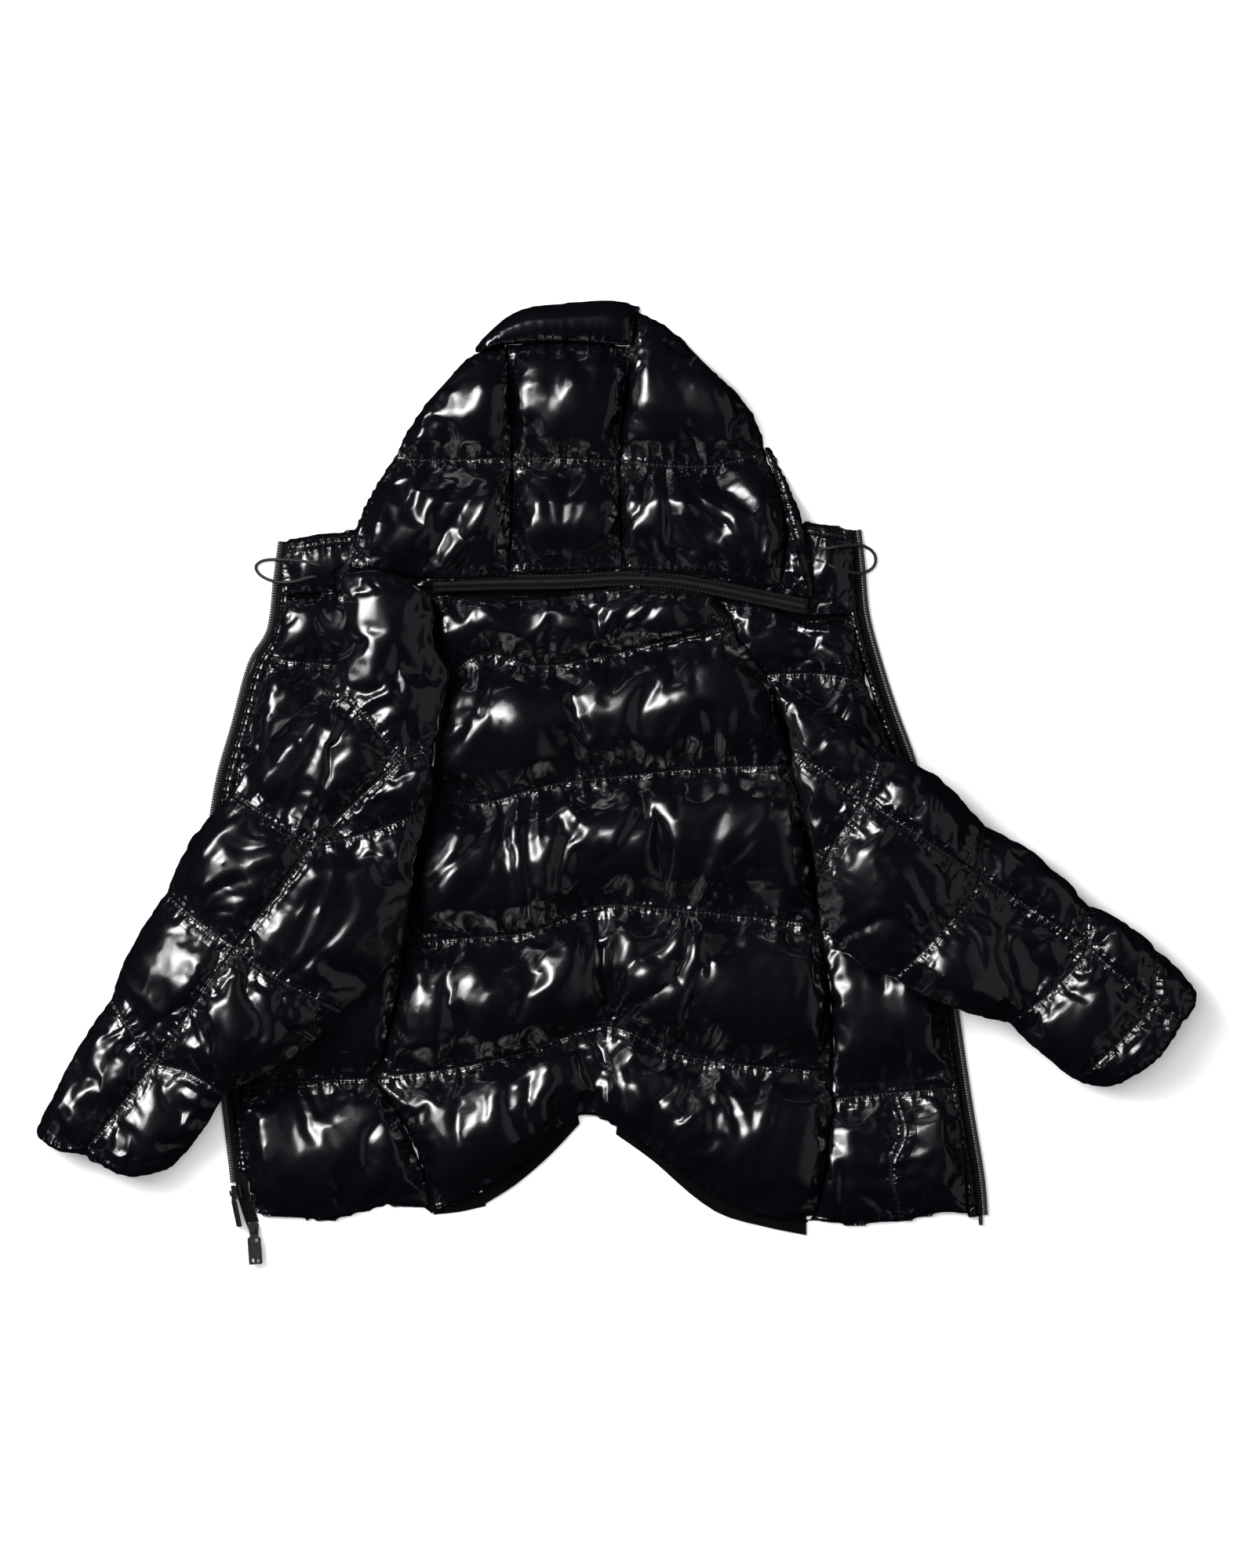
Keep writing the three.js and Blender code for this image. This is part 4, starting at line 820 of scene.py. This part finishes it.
def padded_panel(name, node_names, seams, bulges, seed, square=0.005, excess=EXCESS, pressure=PRESSURE,
                 cap=SWELL_LIMIT, folds=FOLD_HEIGHT, width=FOLD_WIDTH, strength=(), folded_sides=(),
                 sewn_sides=True, extra=(), gathered=None, ridges=()):
    """A padded panel in place of its solids: first folds, then air, then gathers beside its seams."""
    quilting = [smooth_line(seam) for seam in seams]
    sides = panel_sides(seams, bulges)
    free = [side for index, side in enumerate(sides) if index % 2 not in folded_sides]
    lines = quilting + [smooth_line(line) for line in extra] + (sides if sewn_sides else [])
    panel = start_panel(name, node_names, square)
    if folds > 0:
        lay_folds(panel, quilting, free, strength, folds, width, seed)
    raise_ridges(panel, ridges)
    swell(panel, lines, excess, pressure, cap)
    subdivide(panel)
    if gathered is not None:
        lines = [quilting[index] for index in gathered] + [smooth_line(line) for line in extra]
    gather(panel, lines, seed + 3)
    keep_seam_places(panel.data, lines)
    panel.data.polygons.foreach_set("use_smooth", [True] * len(panel.data.polygons))
    panel.data.materials.clear()
    panel.data.materials.append(finishes["shell"])
    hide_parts(*node_names)
    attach(panel, "root")
    print(name, "triangles:", sum(len(face.vertices) - 2 for face in panel.data.polygons))
    return panel


# %% [markdown]
# ### The panels of this jacket
#
# The fold tables give, in millimetres on the pattern table, where a fold starts and ends, how wide it is
# and how high it rises. Strength says how much each row is folded, from the top row down. Folds fade
# out towards the free sides of a panel, and run right up to its folded sides, 0 for the left one and 1
# for the right one, where two hood panels meet. The back and the fronts have the highest folds, the
# collar and the band the lowest, and the tight brim has none.

# %% Back
BACK_FOLDS = [
    (-102, 107, -97, -10, 34, 7), (-20, 60, -42, -2, 8, 3.5), (90, 76, 77, 11, 9, 4),
    (120, 76, 108, 31, 7, 3), (152, 71, 144, 11, 7, 3.5), (67, 76, 62, 39, 6, 2.5),
    (-53, -10, -40, -92, 9, 4.5), (16, -6, -3, -71, 8, 4), (41, -11, 28, -75, 10, 4.5),
    (77, -30, 51, -121, 12, 5), (155, -18, 141, -80, 8, 3.5), (-161, -18, -176, -125, 12, 5),
    (93, -137, 52, -223, 30, 7), (-58, -153, -79, -194, 12, 4), (-136, -194, -153, -268, 30, 7),
    (192, -133, 208, -178, 6, 3), (11, -248, 34, -342, 9, 4.5), (175, -297, 149, -371, 9, 4),
    (-120, -305, -136, -379, 14, 4), (118, -285, 106, -330, 7, 3.5), (77, -276, 67, -317, 6, 3),
    (-140, 195, -153, 121, 22, 6), (130, 183, 106, 130, 8, 4),
]
padded_panel("back_panel", ["back"], BACK_SEAMS, BACK_BULGES, seed=11, square=0.0056,
             strength=(0.6, 0.6, 0.7, 0.7, 0.7), ridges=BACK_FOLDS)

# %% Fronts
padded_panel("left_front_panel", ["left_front"], LEFT_FRONT_SEAMS, FRONT_BULGES, seed=21,
             strength=(0.9, 1, 0.8, 0.6, 0.35))
POCKET_EDGE = [(292, -326), (301, -365), (289, -397), (299, -450)]
padded_panel("right_front_panel", ["right_front"], RIGHT_FRONT_SEAMS, FRONT_BULGES, seed=31,
             extra=[POCKET_EDGE], strength=(0.7, 0.4, 0.35, 0.3, 0.35))

# %% Collar
FINE_SQUARE = 0.0045
LOW_FOLDS = 0.003
NARROW_FOLDS = 0.024
COLLAR_BAND = [(-348, 245), (-283, 256), (-150, 257), (0, 254), (150, 256), (199, 265), (250, 258)]
padded_panel("collar_panel", ["collar"], COLLAR_SEAMS, COLLAR_BULGES, seed=41, square=FINE_SQUARE,
             folds=LOW_FOLDS, width=NARROW_FOLDS, extra=[COLLAR_BAND])

# %% Hood
HOOD_FOLDS = 0.0055
BRIM_SQUARE = 0.004
HOOD_LEFT_FOLDS = [
    (-126, 425, -153, 347, 20, 5), (-120, 326, -153, 244, 14, 4.5), (-186, 310, -218, 244, 10, 4),
]
HOOD_CENTRE_FOLDS = [
    (-42, 437, -79, 355, 14, 5), (-71, 326, -79, 253, 16, 4), (3, 326, -13, 253, 9, 4),
]
HOOD_RIGHT_FOLDS = [
    (69, 294, 97, 228, 8, 4), (118, 285, 142, 232, 7, 3.5), (40, 326, 52, 244, 8, 4),
    (167, 294, 163, 232, 7, 3.5),
]
padded_panel("hood_left_panel", ["hood_left"], HOOD_LEFT_SEAMS, HOOD_LEFT_BULGES, seed=51,
             square=FINE_SQUARE, folds=HOOD_FOLDS, strength=(0.8, 1), folded_sides=(1,),
             ridges=HOOD_LEFT_FOLDS)
padded_panel("hood_centre_panel", ["hood_centre"], HOOD_CENTRE_SEAMS, HOOD_CENTRE_BULGES, seed=61,
             square=FINE_SQUARE, folds=HOOD_FOLDS, strength=(0.6, 0.9), folded_sides=(0, 1),
             ridges=HOOD_CENTRE_FOLDS)
padded_panel("hood_right_panel", ["hood_right"], HOOD_RIGHT_SEAMS, HOOD_RIGHT_BULGES, seed=71,
             square=FINE_SQUARE, folds=HOOD_FOLDS, strength=(0.3, 1.2), folded_sides=(0,),
             ridges=HOOD_RIGHT_FOLDS)
padded_panel("hood_brim_roll", ["hood_brim"], BRIM_SEAMS, [(0, 0)], seed=81, square=BRIM_SQUARE,
             excess=0.0, pressure=1.5, cap=0.004, folds=0.0, gathered=(1,))
padded_panel("hood_band_roll", ["hood_band"], BAND_SEAMS, [(0, 0)], seed=91, square=BRIM_SQUARE,
             folds=LOW_FOLDS, width=NARROW_FOLDS)

# %% Sleeves
def lengthwise_seam(seams):
    """The seam from the shoulder to the cuff runs through the middle place of every cross seam."""
    return [seam[2] for seam in seams]


LEFT_LENGTHWISE = lengthwise_seam(LEFT_SLEEVE_SEAMS)[1:]  # it starts below the shoulder
RIGHT_LENGTHWISE = lengthwise_seam(RIGHT_SLEEVE_SEAMS)
BELOW_SHOULDER = (1, 2, 3, 4, 5)  # the cross seams that gather
LEFT_SLEEVE_FOLDS = [
    (-259, 60, -300, -14, 18, 6), (-329, -63, -399, -157, 22, 6), (-423, -190, -477, -248, 16, 5),
    (-235, 105, -259, 76, 8, 4), (-292, -67, -304, -149, 8, 4.5),
]
padded_panel("left_sleeve_tube", ["left_sleeve_outer", "left_sleeve_inner", "left_sleeve_under"],
             LEFT_SLEEVE_SEAMS, LEFT_SLEEVE_BULGES, seed=101, strength=(0.35, 0.7, 0.8),
             sewn_sides=False, extra=[LEFT_LENGTHWISE], gathered=BELOW_SHOULDER,
             ridges=LEFT_SLEEVE_FOLDS)
padded_panel("right_sleeve_tube", ["right_sleeve_outer", "right_sleeve_inner", "right_sleeve_under"],
             RIGHT_SLEEVE_SEAMS, RIGHT_SLEEVE_BULGES, seed=111, strength=(0.35, 0.5, 0.5, 0.5, 0.6),
             sewn_sides=False, extra=[RIGHT_LENGTHWISE], gathered=BELOW_SHOULDER)

# %% [markdown]
# ## Seams under the edges
#
# Where two panels are sewn together the maker lays a soft binding over the seam on the inside. It is a
# band of matt cloth, so here it is a flat strip of even width that follows the seam on the table, with
# a slow ripple. It also keeps the table from showing between the panels.

# %% Strips along a route
BINDING_COLUMNS = 7
BINDING_THICKNESS = 0.0012
BINDING_HEIGHT = 0.0004  # of its underside above the table
BINDING_RIPPLE = 0.0003


def binding_along(name, route, width, seed):
    """A thin band of cloth along a route, as a closed shell, and its length."""
    line = smooth_line(route)
    ahead = np.gradient(line, axis=0)
    ahead /= np.linalg.norm(ahead, axis=1, keepdims=True)
    across = np.stack([-ahead[:, 1], ahead[:, 0]], axis=1)
    along = np.concatenate([[0], np.cumsum(np.linalg.norm(np.diff(line, axis=0), axis=1))]) / 1000
    wave = random_wave(along, along * 0, 0.03, seed)
    shell = bmesh.new()
    layers = []
    for level in (0, 1):
        rows = []
        for index, (place, side) in enumerate(zip(line, across)):
            row = []
            for column in range(BINDING_COLUMNS):
                share = column / (BINDING_COLUMNS - 1) - 0.5
                spot = place + side * share * width
                corner = in_frame(*spot)
                edge = 1 - 0.4 * abs(2 * share) ** 3
                corner.z = BINDING_HEIGHT
                corner.z += level * (BINDING_THICKNESS * edge + BINDING_RIPPLE * wave[index])
                row.append(shell.verts.new(corner))
            rows.append(row)
        layers.append(rows)
    bottom, top = layers
    for i in range(len(line) - 1):
        for j in range(BINDING_COLUMNS - 1):
            shell.faces.new((top[i][j], top[i][j + 1], top[i + 1][j + 1], top[i + 1][j]))
            shell.faces.new((bottom[i][j], bottom[i + 1][j], bottom[i + 1][j + 1], bottom[i][j + 1]))
        for j, turn in ((0, 1), (BINDING_COLUMNS - 1, -1)):
            face = (top[i][j], top[i + 1][j], bottom[i + 1][j], bottom[i][j])
            shell.faces.new(face[::turn])
    for i, turn in ((0, -1), (len(line) - 1, 1)):
        for j in range(BINDING_COLUMNS - 1):
            face = (top[i][j], top[i][j + 1], bottom[i][j + 1], bottom[i][j])
            shell.faces.new(face[::-turn])
    bmesh.ops.recalc_face_normals(shell, faces=shell.faces)
    mesh = bpy.data.meshes.new(name)
    shell.to_mesh(mesh)
    shell.free()
    mesh.polygons.foreach_set("use_smooth", [True] * len(mesh.polygons))
    strip = bpy.data.objects.new(name, mesh)
    bpy.context.collection.objects.link(strip)
    mesh.materials.append(finishes["lining"])
    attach(strip, "root")
    print(name, "length in mm:", round(along[-1] * 1000))
    return strip, along[-1]


# %% Bindings
WIDE, NARROW = 22.0, 15.0
BINDINGS = {
    "neck_binding": (WIDE, [
        (-346, 200), (-290, 204), (-180, 203), (0, 206), (110, 199), (150, 196), (200, 176), (246, 178),
    ]),
    "left_side_binding": (WIDE, [
        (-190, 20), (-212, -90), (-225, -163), (-240, -235), (-249, -306), (-225, -380), (-198, -430),
        (-186, -441),
    ]),
    "right_side_binding": (WIDE, [
        (186, 21), (198, -60), (206, -146), (214, -225), (218, -302), (208, -380), (204, -445),
    ]),
    "right_shoulder_binding": (WIDE, [(104, 196), (118, 160), (150, 100), (178, 30)]),
    "hem_corner_binding": (NARROW, [(-192, -443), (-165, -440), (-138, -434)]),
}
for index, (name, (width, route)) in enumerate(BINDINGS.items()):
    binding, length = binding_along(name, route, width, seed=300 + index)

# %% [markdown]
# ## Tapes and facings
#
# The zip tapes and the hem facings are thin woven cloth, so each is a finer copy of its solid. Its faces
# are divided, and its free parts are pushed up and down in slow, uneven ripples, a little more away
# from the teeth than beside them, because sewn tape is never quite flat.

# %% Fine copies of thin cloth
LONG_EDGE = 0.006
RIPPLE_GROWTH = 0.006  # ripples grow to their full height over this distance


def fine_copy(name, node_name, cuts):
    bpy.ops.object.select_all(action="DESELECT")
    merged = bmesh.new()
    merged.from_mesh(nodes[node_name].data)
    bmesh.ops.remove_doubles(merged, verts=merged.verts, dist=1e-6)
    bmesh.ops.dissolve_limit(merged, angle_limit=math.radians(1), verts=merged.verts, edges=merged.edges)
    bmesh.ops.triangulate(merged, faces=merged.faces)
    long_edges = [edge for edge in merged.edges if edge.calc_length() > LONG_EDGE]
    bmesh.ops.subdivide_edges(merged, edges=long_edges, cuts=cuts, use_grid_fill=True)
    bmesh.ops.triangulate(merged, faces=merged.faces)
    mesh = bpy.data.meshes.new(name)
    merged.to_mesh(mesh)
    merged.free()
    piece = bpy.data.objects.new(name, mesh)
    bpy.context.collection.objects.link(piece)
    return piece


def ripple_cloth(piece, route, free_from, height, width, seed):
    places = places_of(piece.data)
    distance, along, line = seam_places(places, [smooth_line(route)])
    free = np.clip((distance - free_from) / RIPPLE_GROWTH, 0, 1)
    places[:, 2] += height * free * random_wave(along, distance, width, seed)
    places[:, 2] = np.maximum(places[:, 2], 0.0001)
    put_places(piece.data, places)


LEFT_ZIP_ROUTE = [
    (-347, 256), (-352, 218), (-360, 160), (-378, 129), (-397, 61), (-412, 8), (-422, -60), (-424, -155),
    (-415, -250), (-405, -343), (-398, -405), (-396, -428), (-391, -446), (-382, -466), (-380, -476),
]
RIGHT_ZIP_ROUTE = [
    (250, 268), (254, 233), (259, 179), (273, 126), (288, 79), (309, 20), (329, -70), (341, -155),
    (353, -240), (367, -335), (380, -415), (383, -452),
]
NECK_ZIP_ROUTE = [(-192, 211), (-120, 213), (-53, 214), (12, 217), (64, 214), (119, 204), (200, 187)]
FACING_EDGES = {
    "left_hem_facing": [(-140, -441), (-104, -418), (-67, -386), (-38, -355)],
    "right_hem_facing": [(0, -366), (39, -394), (80, -430), (110, -450), (160, -464), (200, -472)],
}


def route_length(route):
    return float(np.linalg.norm(np.diff(smooth_line(route), axis=0), axis=1).sum()) / 1000


TAPES = {
    "left_zip": (LEFT_ZIP_ROUTE, 0.013),
    "right_zip": (RIGHT_ZIP_ROUTE, 0.013),
    "neck_zip": (NECK_ZIP_ROUTE, 0.016),
}
for index, (name, (route, width)) in enumerate(TAPES.items()):
    tape = fine_copy(f"{name}_tape", name, cuts=2)
    ripple_cloth(tape, route, free_from=0.004, height=0.0004, width=0.03, seed=400 + index)
    tape.data.materials.append(finishes["tape"])
    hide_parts(name)
    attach(tape, "root")
    print(tape.name, "length in mm:", round(route_length(route) * 1000))

for index, (name, edge) in enumerate(FACING_EDGES.items()):
    facing = fine_copy(f"{name}_cloth", name, cuts=4)
    ripple_cloth(facing, edge, free_from=-0.003, height=0.0006, width=0.028, seed=410 + index)
    facing.data.materials.append(finishes["lining"])
    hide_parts(name)
    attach(facing, "root")

# %% [markdown]
# ## Things that repeat: stitches and teeth
#
# A stitch and a tooth are each modelled once and then copied along their seam or zip. Each
# copy has only a few dozen faces, because there are hundreds of them. The stitches lie in the valley of
# a seam, so their height is found by dropping a plumb line onto the finished panel.

# %% One stitch and one tooth
STITCH_RADIUS = 0.00032
STITCH_LENGTH = 0.0034
TOOTH_SIZE = (0.0016, 0.0042, 0.0032)


def model_stitch():
    """A short stitch: a six-sided rod along X, thinner at both ends where it enters the cloth."""
    bpy.ops.object.select_all(action="DESELECT")
    bpy.ops.mesh.primitive_cylinder_add(vertices=6, radius=STITCH_RADIUS, depth=STITCH_LENGTH,
                                        rotation=(0, math.pi / 2, 0))
    stitch = bpy.context.object
    bpy.ops.object.transform_apply(location=True, rotation=True, scale=True)
    bpy.ops.object.mode_set(mode="EDIT")
    bpy.ops.mesh.select_all(action="DESELECT")
    bpy.ops.object.mode_set(mode="OBJECT")
    for face in stitch.data.polygons:
        face.select = abs(face.normal.x) > 0.9
    bpy.ops.object.mode_set(mode="EDIT")
    bpy.ops.mesh.inset(thickness=0.0001, depth=0.0003)
    bpy.ops.object.mode_set(mode="OBJECT")
    return stitch


def model_tooth():
    """A moulded tooth: a small block with a nib on its outer end and rounded edges."""
    bpy.ops.object.select_all(action="DESELECT")
    bpy.ops.mesh.primitive_cube_add(size=1, scale=TOOTH_SIZE)
    tooth = bpy.context.object
    bpy.ops.object.transform_apply(location=True, rotation=True, scale=True)
    for face in tooth.data.polygons:
        face.select = face.normal.y > 0.9
    bpy.ops.object.mode_set(mode="EDIT")
    bpy.ops.mesh.inset(thickness=0.0004, depth=0.0006)
    bpy.ops.mesh.select_all(action="SELECT")
    bpy.ops.mesh.bevel(offset=0.0003, segments=1)
    bpy.ops.object.mode_set(mode="OBJECT")
    return tooth


def template_of(piece):
    """The places and faces of a piece, which is then removed."""
    mesh = piece.data
    places = places_of(mesh).copy()
    faces = [tuple(face.vertices) for face in mesh.polygons]
    bpy.data.objects.remove(piece)
    return places, faces


def copies(name, template, placements, finish):
    """One mesh with a copy of the template at every placement, a turn and a place."""
    places, faces = template
    all_places = [places @ np.array(turn).T + np.array(place) for turn, place in placements]
    all_faces = [
        tuple(vertex + index * len(places) for vertex in face)
        for index in range(len(placements)) for face in faces
    ]
    mesh = bpy.data.meshes.new(name)
    mesh.from_pydata(np.vstack(all_places).tolist(), [], all_faces)
    mesh.update()
    mesh.polygons.foreach_set("use_smooth", [True] * len(mesh.polygons))
    row = bpy.data.objects.new(name, mesh)
    bpy.context.collection.objects.link(row)
    mesh.materials.append(finishes[finish])
    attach(row, "root")
    triangles = sum(len(face.vertices) - 2 for face in mesh.polygons)
    print(name, "copies:", len(placements), "triangles:", triangles)
    return row


def beside(route, distance):
    """A route moved sideways, in millimetres, to the left of its direction."""
    line = smooth_line(route)
    ahead = np.gradient(line, axis=0)
    ahead /= np.linalg.norm(ahead, axis=1, keepdims=True)
    moved = line + np.stack([-ahead[:, 1], ahead[:, 0]], axis=1) * distance
    return moved[::6].tolist() + [moved[-1].tolist()]


def spaced(route, pitch, start=0.5):
    """Places and directions at an even pitch, in millimetres, along a smooth line."""
    line = smooth_line(route)
    along = np.concatenate([[0], np.cumsum(np.linalg.norm(np.diff(line, axis=0), axis=1))])
    stops = np.arange(pitch * start, along[-1] - pitch * 0.5, pitch)
    xs, ys = np.interp(stops, along, line[:, 0]), np.interp(stops, along, line[:, 1])
    ahead = np.stack([np.gradient(xs), np.gradient(ys)], axis=1)
    ahead /= np.linalg.norm(ahead, axis=1, keepdims=True)
    return np.stack([xs, ys], axis=1), ahead


# %% Teeth along the front zips
tooth = template_of(model_tooth())
TOOTH_PITCH = 2.8
TEETH_OUT = 4.9  # from the middle of the tape to the middle of the teeth
TEETH_HEIGHT = 0.0019  # of the middle of a tooth above the table
ABOVE_SLIDER = LEFT_ZIP_ROUTE[:11] + [(-397, -417)]
for name, route, outer in (("left_teeth", ABOVE_SLIDER, -1), ("right_teeth", RIGHT_ZIP_ROUTE, 1)):
    placements = []
    for place, ahead in zip(*spaced(beside(route, TEETH_OUT * outer), TOOTH_PITCH)):
        along = np.array([ahead[0], ahead[1], 0])
        across = np.array([-ahead[1], ahead[0], 0])
        if across[0] * outer < 0:
            across = -across
            along = -along
        turn = np.stack([along, across, [0, 0, 1]], axis=1)
        spot = in_frame(*place)
        placements.append((turn, (spot.x, spot.y, TEETH_HEIGHT)))
    copies(name, tooth, placements, "teeth")

# %% [markdown]
# ### Thread on the seams
#
# The quilting thread is thick and dull, so it shows as a row of small dashes at the bottom of every
# seam. Each dash leans with the cloth: its direction comes from the two places beside it.

# %% Stitches laid on a surface
STITCH_PITCH = 4.6
STEEPEST = 0.006  # metres between a stitch's neighbours for each millimetre of pitch
stitch = template_of(model_stitch())


def plumb_line(piece):
    """A way to find the top of a piece at a place on the table."""
    mesh = piece.data
    faces = [tuple(face.vertices) for face in mesh.polygons]
    return BVHTree.FromPolygons([vertex.co for vertex in mesh.vertices], faces)


def laid_on(tree, places, lift):
    """The places on the surface, lifted a little, or None where there is no surface."""
    found = []
    for x, y in places:
        spot = in_frame(x, y)
        hit = tree.ray_cast((spot.x, spot.y, 0.3), (0, 0, -1))[0]
        found.append(None if hit is None else np.array((hit.x, hit.y, hit.z + lift)))
    return found


def stitch_row(tree, route, pitch=STITCH_PITCH, lift=0.00015, crosswise=False):
    places, ahead = spaced(route, pitch)
    spots = laid_on(tree, places, lift)
    placements = []
    for before, spot, after in zip(spots, spots[1:], spots[2:]):
        if before is None or spot is None or after is None:
            continue
        along = after - before
        if np.linalg.norm(along) > STEEPEST * pitch:
            continue  # the seam drops off an edge here
        along /= np.linalg.norm(along)
        across = np.cross((0, 0, 1), along)
        across /= np.linalg.norm(across)
        up = np.cross(along, across)
        if crosswise:
            along, across = across, -along
        placements.append((np.stack([along, across, up], axis=1), spot))
    return placements


def sew(name, panel, routes):
    tree = plumb_line(panel)
    placements = [placement for route in routes for placement in stitch_row(tree, route)]
    copies(name, stitch, placements, "thread")


# %% Thread on every panel
ON_THE_BRIM = 4.5  # millimetres from the brim's lower seam
FROM_THE_EDGE = 4.0
piece = bpy.data.objects
sew("back_thread", piece["back_panel"], BACK_SEAMS[1:5])
sew("left_front_thread", piece["left_front_panel"], LEFT_FRONT_SEAMS[1:5])
sew("right_front_thread", piece["right_front_panel"], RIGHT_FRONT_SEAMS[1:5] + [POCKET_EDGE])
sew("collar_thread", piece["collar_panel"], [COLLAR_BAND])
sew("brim_thread", piece["hood_brim_roll"], [beside(BRIM_SEAMS[1], ON_THE_BRIM)])
HOOD_LEFT_EDGE = [seam[0] for seam in HOOD_CENTRE_SEAMS]
HOOD_RIGHT_EDGE = [seam[-1] for seam in HOOD_CENTRE_SEAMS]
sew("hood_left_thread", piece["hood_left_panel"], HOOD_LEFT_SEAMS[1:2])
sew("hood_centre_thread", piece["hood_centre_panel"],
    HOOD_CENTRE_SEAMS[1:2] + [beside(HOOD_LEFT_EDGE, FROM_THE_EDGE),
                              beside(HOOD_RIGHT_EDGE, -FROM_THE_EDGE)])
sew("hood_right_thread", piece["hood_right_panel"], HOOD_RIGHT_SEAMS[1:2])
sew("left_sleeve_thread", piece["left_sleeve_tube"],
    LEFT_SLEEVE_SEAMS[1:5] + [LEFT_LENGTHWISE])
sew("right_sleeve_thread", piece["right_sleeve_tube"],
    RIGHT_SLEEVE_SEAMS[1:5] + [RIGHT_LENGTHWISE])

# %% [markdown]
# ### Neck zip
#
# The zip that holds the hood has a fine coil in place of teeth, and its tape is sewn down along both
# long edges. The coil is a row of short cross pieces, as dull as thread, and a row of thread runs along
# each side of it.

# %% Coil and thread of the neck zip
COIL_PITCH = 1.5
TAPE_SEAM = 6.2  # millimetres from the coil to each row of thread
neck_tree = plumb_line(piece["neck_zip_tape"])
coil = stitch_row(neck_tree, NECK_ZIP_ROUTE, pitch=COIL_PITCH, lift=0.0, crosswise=True)
copies("neck_coil", stitch, coil, "thread")
edge_thread = []
for side in (-TAPE_SEAM, TAPE_SEAM):
    edge_thread += stitch_row(neck_tree, beside(NECK_ZIP_ROUTE, side), pitch=4.4)
copies("neck_tape_thread", stitch, edge_thread, "thread")

# %% [markdown]
# ### Padded edge and piping beside the front teeth
#
# Between the teeth and the first quilted row each front ends in a narrow padded edge, folded round the
# tape, with a thin piping along it that draws a bright line. Both are round rolls that follow the zip,
# so each starts as a curve with a round bevel, is made a mesh, and then gets the puckers of a sewn edge.

# %% Rolls that follow the zip
ROLL_PUCKER_WIDTH = 0.009


def lay_roll(name, route, height, radius, bevel_steps, puckers, seed):
    """A round roll along a route: its height in millimetres, its radius and puckers in metres."""
    places = [in_frame(x, y, height) for x, y in route]
    roll, length = draw_tube(name, places, radius, bevel_steps)
    roll.data.materials.append(finishes["shell"])
    middle = [np.array(route)]
    distance, along, line = seam_places(places_of(roll.data), middle)
    pushed_out(roll.data, puckers * random_wave(along, distance, ROLL_PUCKER_WIDTH, seed))
    keep_seam_places(roll.data, middle)
    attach(roll, "root")
    print(name, "length in mm:", round(length * 1000), "vertices:", len(roll.data.vertices))
    return roll


PIPING_IN = 3.6  # millimetres from the middle of the tape to the piping
PADDING_IN = 8.8
for name, route, inwards in (("left", LEFT_ZIP_ROUTE[:11], 1), ("right", RIGHT_ZIP_ROUTE, -1)):
    lay_roll(f"{name}_piping", beside(route, PIPING_IN * inwards), height=2.2, radius=0.0008,
             bevel_steps=1, puckers=0.0, seed=0)
    edge = lay_roll(f"{name}_padded_edge", beside(route, PADDING_IN * inwards), height=4.2,
                    radius=0.0044, bevel_steps=3, puckers=0.0007, seed=500)

# %% [markdown]
# ## Metal parts
#
# The sliders, pulls, eyelets and the end pin have their exact shape from the frame. Cast parts have no
# sharp edges, so their loose triangles are welded and every edge gets a small live bevel.

# %% Soft edges and finishes on the metal parts
METAL_PARTS = [
    "zip_pin", "upper_slider", "upper_pull", "lower_slider", "lower_pull", "left_eyelet_upper",
    "left_eyelet_lower", "right_eyelet_upper", "right_eyelet_lower",
]
for name in METAL_PARTS:
    part = nodes[name]
    part.data.materials.clear()
    part.data.materials.append(finishes["hardware"])
    weld = part.modifiers.new("weld", "WELD")
    weld.merge_threshold = 0.00002
    bevel = part.modifiers.new("cast edges", "BEVEL")
    bevel.width = 0.00022
    bevel.segments = 2
    bevel.limit_method = "ANGLE"
    bevel.angle_limit = math.radians(35)
print("metal parts:", len(METAL_PARTS))
